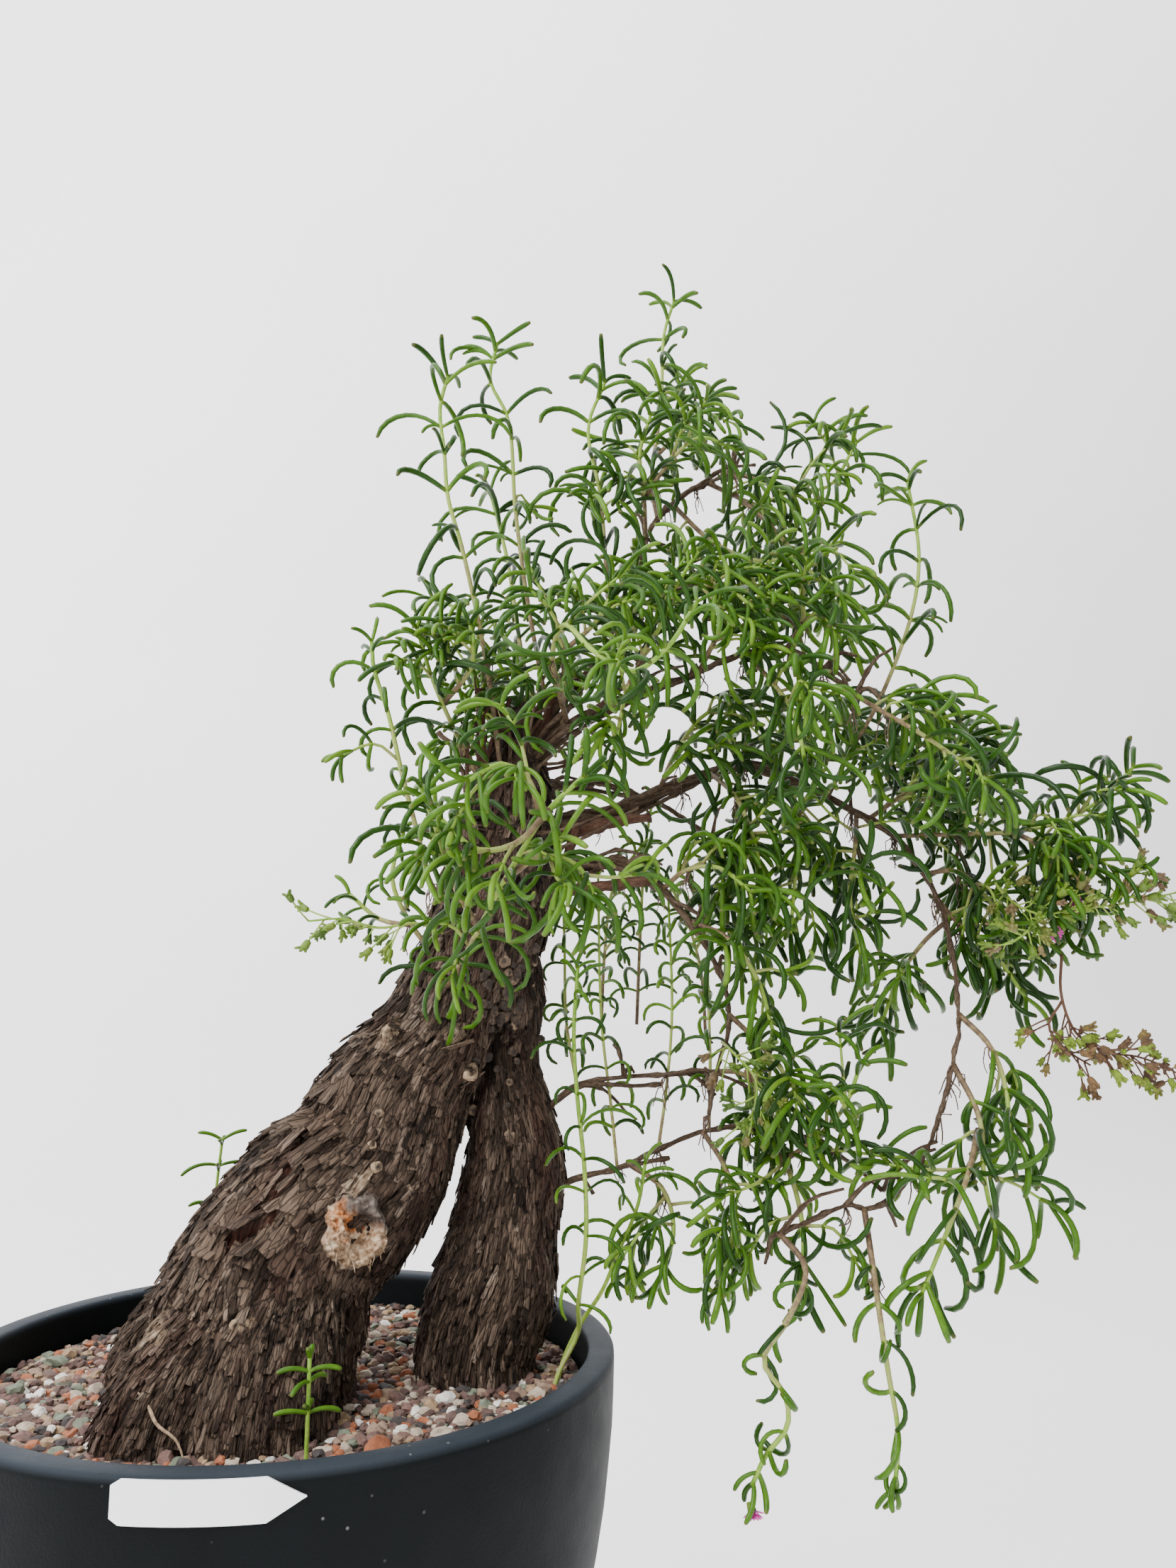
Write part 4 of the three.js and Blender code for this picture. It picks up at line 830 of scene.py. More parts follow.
def wound_height(x, y):
    """Height in mm over a point of the wound, and how frayed, amber and pitted it is there."""
    at = Vector((x, y, 3.1))
    across = math.hypot(x, y * 0.88) + 2.2 * noise.noise(at / 5) + 0.8 * noise.noise(at / 1.7)
    turn = math.atan2(y, x)
    crumb = noise.fractal(at / 2.6, 0.65, 2.2, 5)
    lip = 4.2 * math.exp(-((across - 8.2) / 2.6) ** 2)
    dish = -1.8 * max(0, 1 - (across / 6.5) ** 2)
    outside = max(0, across - WOUND_RADIUS)
    fray = max(0, min(1, 2.2 * math.cos(turn - 0.95) - 1.0 + 0.8 * noise.noise(at / 3) + 0.1 * (across - 3)))
    fray = max(fray, min(1, outside / 1.5))
    amber = max(0, min(1, math.cos(turn - 1.9) * 1.1 + 0.1 + 1.2 * noise.noise(at / 2.2) + 0.12 * (7 - across)))
    hole = (Vector((x - 1.5, y - 2.4)) / 2.6).length + 0.4 * noise.noise(at / 1.3)
    pit = max(0, min(1, (1.15 - hole) * 3))
    height = lip + dish + crumb * 2.1 * (1 - 0.5 * fray) - 2.2 * pit - 2.6 * outside
    return height + 0.6, fray, amber, pit


def make_wound(chance):
    bm = bmesh.new()
    layers = [bm.verts.layers.float.new(name) for name in ("fray", "amber", "pit")]
    half = WOUND_RADIUS + 4
    bmesh.ops.create_grid(bm, x_segments=WOUND_CELLS, y_segments=WOUND_CELLS, size=half)
    bmesh.ops.delete(bm, geom=[vert for vert in bm.verts if vert.co.length > half], context="VERTS")
    turned = WOUND_OUT.to_track_quat("Z", "Y")
    for vert in bm.verts:
        height, *marks = wound_height(vert.co.x, vert.co.y)
        for layer, mark in zip(layers, marks):
            vert[layer] = mark
        vert.co = (WOUND + turned @ Vector((vert.co.x, vert.co.y, height))) * MM
    grown = bmesh.ops.extrude_face_region(bm, geom=bm.faces[:])["geom"]
    backs = [item for item in grown if isinstance(item, bmesh.types.BMVert)]
    bmesh.ops.translate(bm, vec=-WOUND_OUT * 1.2 * MM, verts=backs)
    for _ in range(16):
        angle = chance.uniform(-2.6, -0.4)
        foot = Vector((8.6 * math.cos(angle), 9.2 * math.sin(angle), chance.uniform(0.5, 3)))
        end = foot + Vector((chance.uniform(-1.5, 2.5), chance.uniform(-6.5, -2), chance.uniform(-0.5, 1.5)))
        bend = foot.lerp(end, 0.5) + Vector((chance.uniform(-1, 1), 0, 0.8))
        known = len(bm.verts)
        spots = stations(trace([WOUND + turned @ point for point in (foot, bend, end)], 1.2))
        sweep(bm, spots, [radius * MM for radius in spread([0.42, 0.16], len(spots))], 5)
        bm.verts.ensure_lookup_table()
        for vert in bm.verts[known:]:
            vert[layers[0]] = chance.choice([0.0, 0.3])
    bmesh.ops.recalc_face_normals(bm, faces=bm.faces)
    return bm


make_piece("healed_wound", make_wound(random.Random(33)), [wound_finish()], ["tree"])

# Roots and woody branches. Stiff twisted wood from the head of the caudex, thinner towards the tips,
# with swollen joints where leaves once stood. Pruned stubs end in short dead wood.
ROOTS = [
    ([(-30, -36, 168), (-50, -52, 136), (-60, -62, 104)], [18, 10, 3]),
    ([(-16, -18, 168), (-10, -26, 128), (-6, -40, 84)], [24, 13, 3]),
    ([(-44, 6, 168), (-58, 24, 136), (-66, 38, 102)], [15, 9, 3]),
    ([(77, -6, 168), (76, 6, 128), (64, 26, 92)], [19, 11, 3]),
]
BRANCHES = [
    ([(84, 2, 380), (104, 4, 392), (126, 6, 399), (163, 8, 415), (192, 5, 423), (217, 0, 414),
      (239, -5, 403), (255, -12, 391), (265, -30, 364), (263, -45, 337), (257, -58, 314), (249, -66, 295),
      (239, -72, 277), (226, -78, 260), (208, -80, 246), (194, -82, 247), (168, -84, 239)],
     [5.5, 4.6, 4.2, 3.6, 3.2, 2.6, 2, 1.7, 1.5, 1.4, 1.3, 1.3, 1.2]),
    ([(86, 0, 412), (101, 2, 441), (126, 5, 469), (142, 8, 492), (148, 10, 529), (158, 10, 544),
      (173, 12, 557), (193, 14, 568)], [5, 3.6, 3, 2.8, 2.6, 2.4, 2.2, 1.8]),
    ([(83, -4, 408), (106, -14, 434), (131, -24, 445), (158, -34, 455), (175, -42, 462), (192, -48, 464),
      (205, -54, 454), (216, -60, 442)], [4.5, 3.4, 3, 2.8, 2.5, 2.2, 1.9, 1.6]),
    ([(88, 0, 366), (117, -6, 377), (131, -12, 375), (145, -18, 366), (158, -24, 348), (166, -30, 331),
      (168, -36, 311), (160, -42, 292), (155, -46, 276)], [4, 3, 2.4, 2.1, 1.9, 1.7, 1.5, 1.4]),
    ([(92, 0, 268), (112, -6, 285), (131, -10, 288), (148, -14, 289), (164, -18, 290)],
     [2.0, 1.6, 1.4, 1.2]),
    ([(95, 0, 236), (110, -4, 247), (128, -10, 252), (143, -18, 260), (162, -26, 268), (177, -34, 269),
      (195, -42, 266), (212, -50, 257), (222, -56, 247)], [2.5, 2.1, 1.8, 1.6, 1.5, 1.4, 1.3]),
    ([(84, 8, 392), (104, 30, 412), (132, 48, 420), (164, 58, 414), (196, 62, 398)],
     [4.5, 3.2, 2.6, 2.2, 1.7]),
    ([(82, 6, 400), (70, 26, 424), (58, 44, 440)], [4, 2.6, 1.8]),
    ([(189, 14, 566), (193, 14, 572), (194, 14, 583)], [2, 1.8, 1.5]),
]
STUBS = [
    ([(104, 0, 362), (109, -2, 380), (112, -3, 392)], [2.6, 2.3, 2.1]),
    ([(112, 2, 390), (128, -8, 394), (142, -15, 396)], [2.8, 2.3, 2.0]),
    ([(90, -4, 418), (98, -8, 436), (101, -10, 447)], [3.0, 2.3, 1.9]),
    ([(74, -8, 392), (70, -12, 420), (68, -14, 448)], [3.6, 2.3, 1.8]),
    ([(96, -2, 364), (120, -14, 366), (140, -22, 369)], [3.0, 2.4, 2.1]),
    ([(66, -10, 372), (54, -18, 380), (47, -20, 388)], [3.6, 2.6, 2.2]),
]
JOINT_SPACING = 24
WOOD_SEED = 61


def twig_finish():
    finish, tree, shader = new_finish("brown_twig_bark")
    tone = add(tree, "Attribute", attribute_name="tone").outputs["Fac"]
    at = add(tree, "Attribute", attribute_name="grain").outputs["Vector"]
    fibre = grain(tree, 2.4, at, 7, 0.75)
    patches = grain(tree, 0.35, at, 4)
    base = ramp(tree, fibre, [(0.3, 0.022, 0.013, 0.009), (0.48, 0.095, 0.063, 0.041),
                              (0.6, 0.205, 0.148, 0.098), (0.75, 0.42, 0.34, 0.24)])
    worn = ramp(tree, patches, [(0.42, 0.62, 0.55, 0.50), (0.62, 1.25, 1.25, 1.25)])
    base = blend(tree, 1.0, base, worn, "MULTIPLY")
    cut = ramp(tree, fibre, [(0.35, 0.040, 0.016, 0.010), (0.7, 0.17, 0.062, 0.038)])
    tree.links.new(blend(tree, tone, base, cut), shader.inputs["Base Color"])
    shader.inputs["Roughness"].default_value = 0.88
    shader.inputs["Specular IOR Level"].default_value = 0.2
    relief(tree, shader, fibre, 0.0010, 1.0)
    return finish


def grow_wood(bm, route, radii, sides, step, redness):
    """One branch, with a swollen joint every so often and an uneven rough surface."""
    tone_layer, grain_layer = bm.verts.layers.float["tone"], bm.verts.layers.float_vector["grain"]
    known = len(bm.verts)
    spots = stations(trace(route, step))
    sized = []
    for i, radius in enumerate(spread(radii, len(spots))):
        phase = (i * step / JOINT_SPACING) % 1
        joint = max(0, 1 - abs(phase - 0.5) * 2 * JOINT_SPACING / 6)
        sized.append(radius * (1 + 0.45 * joint) * MM)
    sweep(bm, spots, sized, sides)
    bm.verts.ensure_lookup_table()
    for number, vert in enumerate(bm.verts[known:]):
        ring = min(number // sides, len(spots) - 1)
        local = spots[ring].inverted() @ vert.co / MM
        vert[grain_layer] = (local.x * 1.5, local.y * 1.5, ring * step / 5 + route[0][0])
        rough = noise.noise_vector(vert.co / MM / 1.9) * 0.5 + noise.noise_vector(vert.co / MM / 7) * 0.9
        vert.co += rough * min(1, radii[0] / 3) * MM
        vert[tone_layer] = redness


def wood_mesh():
    bm = bmesh.new()
    bm.verts.layers.float.new("tone")
    bm.verts.layers.float_vector.new("grain")
    return bm


def make_branches(chance):
    """Each branch is a bundle: a main stem with thinner ones twisted round it."""
    bm = wood_mesh()
    for route, radii in BRANCHES:
        grow_wood(bm, route, [max(0.9, radius * 0.58) for radius in radii], 10, 2, 0)
        for strand in range(3 if radii[0] > 3.5 else 0):
            turn = chance.uniform(0, math.tau)
            wound_round = []
            thick = max(3, int(len(route) * (0.45 + 0.1 * strand)))
            for point, radius in list(zip(route, spread(radii, len(route))))[:thick]:
                turn += chance.uniform(0.3, 1.3)
                reach = radius * chance.uniform(0.45, 0.85)
                wound_round.append(Vector(point) + Vector((0, reach * math.cos(turn), reach * math.sin(turn))))
            grow_wood(bm, wound_round, [max(0.6, radius * chance.uniform(0.22, 0.36)) for radius in radii], 7, 3, 0)
    for route, radii in STUBS:
        grow_wood(bm, route, radii, 9, 2.2, 0.6)
    bmesh.ops.recalc_face_normals(bm, faces=bm.faces)
    return bm


def make_roots():
    bm = wood_mesh()
    for route, radii in ROOTS:
        grow_wood(bm, route, radii, 14, 4, 0)
    bmesh.ops.recalc_face_normals(bm, faces=bm.faces)
    return bm


noise.seed_set(WOOD_SEED)
twig = twig_finish()
make_piece("woody_branches", make_branches(random.Random(41)), [twig], ["tree"])
make_piece("buried_roots", make_roots(), [twig], ["tree"])

# Leafy shoots. Each is a thin fleshy stem, green at the tip and tan below, that carries long round
# leaves in crossed pairs. The leaves arch out and down, and small new leaves crowd the joints.
SHOOTS = {
    "crown_left_shoot": [[(80, -8, 404), (69, -26, 457), (57, -35, 502), (51, -38, 520), (49, -38, 540),
                          (47, -37, 559), (50, -36, 574)]],
    "crown_middle_shoot": [[(101, 2, 441), (91, 0, 491), (84, -6, 531), (80, -8, 572), (72, -7, 590),
                            (75, -6, 608)]],
    "crown_back_shoot": [[(101, 2, 441), (95, 22, 462), (90, 30, 500), (87, 33, 522), (79, 36, 556)]],
    "crown_rising_shoot": [[(131, 6, 475), (125, -6, 508), (121, -11, 540), (115, -14, 569), (122, -16, 590)]],
    "crown_top_shoot": [[(154, 10, 538), (154, 20, 562), (161, 26, 605), (164, 30, 644), (170, 32, 664)],
                        [(156, 21, 575), (172, 26, 590), (180, 30, 584)]],
    "crown_short_shoot": [[(148, 10, 527), (142, -8, 545), (138, -16, 558), (142, -20, 575)],
                          [(143, -6, 542), (152, -16, 556), (164, -22, 566), (179, -26, 560)]],
    "left_upright_shoot": [[(66, -6, 350), (49, -22, 365), (43, -28, 383), (35, -36, 408), (29, -40, 430),
                            (23, -42, 447), (22, -42, 457)]],
    "left_low_shoot": [[(60, -4, 330), (42, -12, 350), (34, -16, 368), (38, -18, 386)],
                       [(44, -12, 349), (30, -4, 352), (18, -2, 362)]],
    "crown_end_shoot": [[(193, 14, 568), (212, 12, 563), (238, 8, 562), (254, 6, 586)]],
    "crown_arching_shoot": [[(161, 10, 547), (176, -2, 526), (196, -8, 516), (235, -12, 527)]],
    "crown_trailing_shoot": [[(180, 12, 560), (207, 26, 557), (236, 34, 542), (258, 40, 520)],
                             [(195, 20, 560), (207, 8, 542), (220, -4, 518), (232, -10, 499), (237, -14, 480)]],
    "outer_tall_shoot": [[(228, -3, 408), (239, -10, 432), (249, -14, 450), (265, -20, 492), (269, -22, 520),
                          (266, -20, 556)]],
    "front_short_shoot": [[(192, -48, 464), (196, -56, 474), (193, -60, 490)],
                          [(195, -54, 471), (186, -44, 482), (182, -36, 494)]],
    "head_back_shoot": [[(82, 6, 404), (84, 22, 440), (72, 32, 474), (66, 36, 496), (50, 42, 504)]],
    "head_fan_shoot": [[(104, -12, 432), (102, -26, 460), (94, -34, 478), (84, -40, 494)],
                       [(101, -28, 462), (112, -40, 472), (118, -46, 484)]],
    "head_left_shoot": [[(76, -4, 400), (60, -18, 424), (48, -26, 446), (40, -34, 466)],
                        [(52, -22, 438), (62, -36, 452), (60, -44, 466)]],
    "near_arching_shoot": [[(106, -14, 434), (90, -60, 450), (88, -92, 454), (94, -114, 438), (105, -122, 430),
                            (116, -126, 438), (126, -128, 454)]],
    "near_tufted_shoot": [[(142, 8, 492), (142, -30, 484), (141, -56, 484), (146, -72, 494)],
                          [(141, -52, 484), (158, -66, 482), (166, -78, 470)]],
    "front_rising_shoot": [[(158, -34, 455), (162, -46, 467), (170, -54, 478), (184, -62, 482)]],
    "front_falling_shoot": [[(175, -42, 462), (179, -60, 447), (183, -74, 430), (184, -82, 408)]],
    "front_tufted_shoot": [[(131, -24, 445), (132, -36, 459), (137, -46, 469), (142, -54, 482)],
                           [(132, -33, 455), (124, -44, 444), (120, -48, 430), (117, -46, 414)]],
    "outer_second_shoot": [[(153, 8, 412), (156, -8, 426), (165, -16, 440), (178, -20, 447)]],
    "outer_drooping_shoot": [[(176, 7, 420), (179, -20, 404), (181, -34, 384), (182, -42, 362)]],
    "outer_back_shoot": [[(202, 4, 421), (217, 16, 441), (238, 26, 453), (260, 32, 456)]],
    "outer_hanging_shoot": [[(217, 0, 414), (208, -18, 391), (201, -28, 368), (196, -34, 346)]],
    "outer_long_shoot": [[(241, -6, 402), (232, -22, 384), (225, -30, 362), (225, -38, 338)]],
    "outer_reaching_shoot": [[(214, -59, 444), (226, -66, 434), (238, -72, 425), (254, -78, 412),
                              (268, -80, 402)]],
    "far_right_shoot": [[(255, -12, 391), (280, -25, 391), (299, -38, 391), (317, -48, 395), (330, -54, 403),
                         (346, -58, 418)], [(299, -38, 391), (310, -52, 380), (314, -62, 366)]],
    "right_tufted_shoot": [[(246, -8, 399), (262, -4, 409), (278, -10, 421), (292, -18, 437)],
                           [(263, -4, 410), (282, 6, 411), (308, 8, 420)]],
    "right_drooping_shoot": [[(262, -24, 373), (277, -29, 374), (291, -33, 359), (304, -38, 341)]],
    "inner_hanging_shoot": [[(156, -22, 352), (169, -34, 344), (177, -44, 328), (180, -52, 308)]],
    "inner_low_shoot": [[(168, -35, 314), (176, -50, 302), (184, -60, 288), (192, -66, 268)]],
    "inner_front_shoot": [[(146, -18, 365), (152, -34, 372), (162, -44, 372), (172, -52, 362)]],
    "spur_shoot": [[(164, -18, 290), (176, -26, 290), (185, -32, 280), (187, -36, 262)]],
    "low_inner_shoot": [[(132, -12, 254), (142, -28, 246), (143, -38, 232), (136, -44, 218)]],
    "low_middle_shoot": [[(160, -25, 267), (163, -44, 254), (161, -56, 236), (152, -64, 216)]],
    "low_outer_shoot": [[(180, -35, 269), (184, -54, 256), (185, -64, 238), (182, -70, 218)],
                        [(183, -50, 258), (192, -62, 268), (202, -67, 280), (208, -70, 296)]],
    "cascade_upper_shoot": [[(264, -30, 364), (276, -28, 352), (289, -32, 340), (302, -36, 320)],
                            [(274, -28, 355), (264, -20, 344), (252, -18, 328), (242, -20, 308)]],
    "cascade_middle_shoot": [[(257, -58, 314), (264, -68, 302), (265, -76, 287), (262, -82, 268)]],
    "cascade_lower_shoot": [[(249, -66, 295), (252, -78, 276), (248, -86, 256), (249, -90, 238)],
                            [(250, -80, 272), (238, -92, 258), (226, -97, 240), (214, -99, 220)]],
    "trailing_inner_shoot": [[(168, -84, 239), (174, -92, 229), (165, -97, 214), (155, -99, 202), (162, -100, 191),
                              (163, -99, 181), (156, -97, 172), (152, -95, 163)]],
    "trailing_outer_shoot": [[(202, -81, 246), (200, -91, 226), (202, -95, 195), (205, -95, 174), (204, -93, 156)]],
    "near_trunk_shoot": [[(56, -6, 322), (58, -50, 334), (62, -84, 350), (68, -106, 366), (76, -125, 382),
                          (86, -130, 392)],
                         [(76, -125, 382), (66, -122, 371), (54, -118, 369), (43, -112, 379)],
                         [(61, -75, 345), (50, -92, 359), (42, -104, 377), (36, -110, 390)],
                         [(66, -100, 361), (76, -112, 368), (86, -122, 364), (90, -128, 354)],
                         [(74, -121, 378), (68, -131, 390), (58, -136, 394), (48, -138, 388)]],
    "back_hanging_shoot": [[(164, 58, 414), (163, 68, 390), (162, 74, 350), (161, 78, 306)],
                           [(163, 67, 395), (148, 70, 374), (144, 74, 342), (143, 77, 310)],
                           [(163, 69, 387), (180, 74, 370), (194, 79, 336), (198, 82, 296)]],
}
STANDING = {
    "tall_sucker": ([(96, -30, 150), (99, -28, 178), (108, -26, 194), (106, -36, 208), (107, -44, 232),
                     (106, -46, 257), (103, -46, 286), (102, -45, 307), (104, -43, 332)], 62),
    "leaning_sucker": ([(100, -18, 150), (103, -17, 178), (110, -18, 194), (117, -29, 210), (122, -32, 223),
                        (129, -37, 242), (131, -41, 258)], 66),
    "front_seedling": ([(8, -96, 150), (7, -96, 178), (7, -96, 196), (7, -96, 213)], 40),
    "back_seedling": ([(-34, 70, 150), (-33, 70, 178), (-33, 70, 230), (-31, 69, 259)], 72),
}
LEAF_SIDES = 6
LEAF_RINGS = 8
LEAF_GIRTH = [0.72, 0.84, 0.92, 0.96, 1.0, 1.04, 1.06, 1.02, 0.74]

# How each kind of shoot is dressed: leaf tone, leaf length, leaf radius, spacing of the pairs in mm
# and the number of short side shoots. The tone is partly the shoot's own green and partly painted light:
# the shaded shoots at the far right are painted darker and the lit ones in front lighter. The tall upright shoots stand
# nearly free.
HABITS = {
    "near": (0.44, 33, 1.05, 13, 3), "crown": (0.38, 39, 1.20, 14, 3), "head": (0.38, 33, 1.12, 13, 3),
    "front": (0.42, 36, 1.20, 14, 4), "outer": (0.34, 40, 1.30, 14, 6), "right": (0.24, 38, 1.28, 13, 8),
    "far": (0.26, 37, 1.28, 12, 7), "cascade": (0.36, 37, 1.28, 14, 2), "back": (0.46, 21, 0.95, 10, 1),
    "inner": (0.40, 38, 1.22, 14, 4), "spur": (0.40, 30, 1.10, 13, 4), "low": (0.42, 31, 1.12, 14, 3),
    "left": (0.42, 22, 0.95, 15, 1), "trailing": (0.42, 20, 1.00, 14, 0),
    "crown_left_shoot": (0.42, 32, 1.12, 15, 2), "crown_middle_shoot": (0.42, 31, 1.12, 15, 2),
    "crown_top_shoot": (0.44, 32, 1.15, 15, 2), "outer_tall_shoot": (0.38, 35, 1.2, 15, 3),
    "left_low_shoot": (0.42, 18, 0.90, 13, 0), "slender": (0.50, 19, 0.90, 9.5, 0),
    "tall_sucker": (0.56, 21, 0.80, 14, 0), "leaning_sucker": (0.50, 20, 0.80, 13, 0),
}
SLENDER = [
    [(128, -10, 252), (127, -4, 276), (125, 4, 310), (126, 14, 373)],
    [(143, -18, 260), (149, -10, 282), (155, 0, 313), (157, 10, 365)],
    [(162, -26, 268), (165, -20, 294), (168, -10, 328), (173, 0, 374)],
    [(177, -34, 269), (182, -30, 294), (187, -24, 317), (193, -16, 352)],
    [(112, -6, 285), (111, 10, 310), (113, 24, 347), (113, 34, 389)],
]
# The pairs of leaves of each seedling: mm below the tip, leaf length, turn round the stem, how far open.
SEEDLING_PAIRS = {
    "front_seedling": [(1, 4.5, 1.3, 0.5), (5, 10, 0.1, 1.2), (8, 9, 0.9, 1.3), (16, 4, 1.2, 0.8),
                       (17, 10.5, 0.2, 1.3)],
    "back_seedling": [(1, 11, 0.1, 1.0), (3, 6, 1.4, 0.7), (12, 17, 0.2, 1.3), (14, 7, 1.5, 0.8),
                      (29, 12, 0.4, 1.1)],
}


def habit_of(name):
    return HABITS.get(name) or HABITS[name.split("_")[0]]


def leaf_finish():
    finish, tree, shader = new_finish("fleshy_leaf")
    tone = add(tree, "Attribute", attribute_name="tone").outputs["Fac"]
    along = add(tree, "Attribute", attribute_name="along").outputs["Fac"]
    green = ramp(tree, tone, [(0.0, 0.004, 0.020, 0.001), (0.35, 0.017, 0.060, 0.002),
                              (0.7, 0.052, 0.132, 0.005), (1.0, 0.14, 0.26, 0.018)])
    mottle = ramp(tree, grain(tree, 300, detail=4), [(0.3, 0.72, 0.76, 0.70), (0.7, 1.25, 1.2, 1.2)])
    green = blend(tree, 1.0, green, mottle, "MULTIPLY")
    foot = ramp(tree, along, [(0.0, 0.8, 0.8, 0.8), (0.12, 0, 0, 0)])
    green = blend(tree, foot, green, (0.16, 0.26, 0.03))
    tip = ramp(tree, along, [(0.95, 0, 0, 0), (1.0, 0.5, 0.5, 0.5)])
    green = blend(tree, tip, green, (0.12, 0.10, 0.03))
    tree.links.new(green, shader.inputs["Base Color"])
    shader.inputs["Roughness"].default_value = 0.36
    shader.inputs["Specular IOR Level"].default_value = 0.2
    relief(tree, shader, grain(tree, 1400, detail=2), 0.0003, 0.4)
    return finish


def stem_finish():
    finish, tree, shader = new_finish("young_stem")
    along = add(tree, "Attribute", attribute_name="along").outputs["Fac"]
    mottle = grain(tree, 420, detail=5)
    drift = add(tree, "Math", {0: mottle, 1: 0.5}, operation="SUBTRACT").outputs[0]
    age = add(tree, "Math", {0: along, 1: drift}, operation="ADD").outputs[0]
    colour = ramp(tree, age, [(0.0, 0.075, 0.045, 0.025), (0.3, 0.19, 0.13, 0.065), (0.5, 0.28, 0.29, 0.09),
                              (0.75, 0.25, 0.37, 0.05), (1.0, 0.14, 0.28, 0.02)])
    tree.links.new(colour, shader.inputs["Base Color"])
    shader.inputs["Roughness"].default_value = 0.55
    shader.inputs["Specular IOR Level"].default_value = 0.3
    relief(tree, shader, mottle, 0.0004, 0.5)
    return finish


def leaf_blank():
    """A straight rod of unit length and radius that each leaf is bent from."""
    bm = bmesh.new()
    bmesh.ops.create_circle(bm, cap_ends=True, radius=1, segments=LEAF_SIDES)
    top = bm.faces[:]
    for _ in range(LEAF_RINGS):
        grown = bmesh.ops.extrude_face_region(bm, geom=top)["geom"]
        bmesh.ops.translate(bm, vec=(0, 0, 1 / LEAF_RINGS),
                            verts=[item for item in grown if isinstance(item, bmesh.types.BMVert)])
        if top[0].is_valid and _ > 0:
            bmesh.ops.delete(bm, geom=top, context="FACES_ONLY")
        top = [item for item in grown if isinstance(item, bmesh.types.BMFace)]
    poked = bmesh.ops.poke(bm, faces=top)["verts"]
    for vert in poked:
        vert.co.z += 0.35 / LEAF_RINGS
    bmesh.ops.recalc_face_normals(bm, faces=bm.faces)
    mesh = bpy.data.meshes.new("leaf_blank")
    bm.to_mesh(mesh)
    bm.free()
    return mesh


class Foliage:
    """Leaves and other small fleshy parts of one shoot, all bent from the same blank."""

    def __init__(self, blank, chance):
        self.blank = blank
        self.chance = chance
        self.bm = bmesh.new()
        self.tone = self.bm.verts.layers.float.new("tone")
        self.along = self.bm.verts.layers.float.new("along")
        self.leaves = []

    def stem(self, points, foot_radius, tip_radius, old=0.0, young=1.0):
        """A stem that tapers from its foot to its tip, in the second finish."""
        known, known_faces = len(self.bm.verts), len(self.bm.faces)
        spots = stations(points)
        count = len(spots)
        radii = [(foot_radius + (tip_radius - foot_radius) * i / (count - 1)) * MM for i in range(count)]
        sweep(self.bm, spots, radii, 6)
        self.bm.verts.ensure_lookup_table()
        self.bm.faces.ensure_lookup_table()
        foot = points[0]
        reach = max((points[-1] - foot).length, 1e-6)
        for vert in self.bm.verts[known:]:
            vert[self.along] = old + (young - old) * min(1, (vert.co - foot).length / reach)
            vert[self.tone] = 0.5
        for face in self.bm.faces[known_faces:]:
            face.material_index = 1

    def leaf(self, root, start, towards, turn, length, radius, tone, flatness=0.92):
        """Notes a leaf that sets off from root along start and turns that far towards a direction."""
        start = start.normalized()
        across = start.cross(towards)
        across = across.normalized() if across.length > 1e-3 else start.orthogonal().normalized()
        centre, places = root.copy(), []
        hook = self.chance.uniform(0.9, 1.9)
        for ring in range(LEAF_RINGS + 2):
            share = min(ring / LEAF_RINGS, 1)
            course = Matrix.Rotation(turn * share ** hook, 3, across) @ start
            places.append((centre.copy(), course, across.cross(course).normalized()))
            centre += course * length * MM / LEAF_RINGS
        tip = Vector(places[-2][0]) / MM
        middle = Vector(places[LEAF_RINGS // 2][0]) / MM
        _, room, _ = nearest_limb(numpy.array([tip[:], middle[:]]))
        if room.min() > 1.5:
            self.leaves.append((places, across, radius * MM, tone, flatness))
            return True
        return False

    def bend(self):
        """Copies the blank once for each noted leaf and moves its rings on to the leaf's line."""
        first = len(self.bm.verts)
        for _ in self.leaves:
            self.bm.from_mesh(self.blank)
        self.bm.verts.ensure_lookup_table()
        size = len(self.blank.vertices)
        for number, (places, across, radius, tone, flatness) in enumerate(self.leaves):
            for vert in self.bm.verts[first + number * size:first + (number + 1) * size]:
                height = vert.co.z * LEAF_RINGS
                ring = min(int(round(height)), LEAF_RINGS)
                centre, course, inward = places[ring]
                girth = radius * LEAF_GIRTH[ring]
                over = max(0, height - LEAF_RINGS) * radius * 1.2
                vert[self.along] = ring / LEAF_RINGS
                vert[self.tone] = tone
                vert.co = (centre + across * (vert.co.x * girth)
                           + inward * (vert.co.y * girth * flatness) + course * over)


blank_leaf = leaf_blank()
leaf_green = leaf_finish()
stem_green = stem_finish()
DOWN = Vector((0, 0, -1))


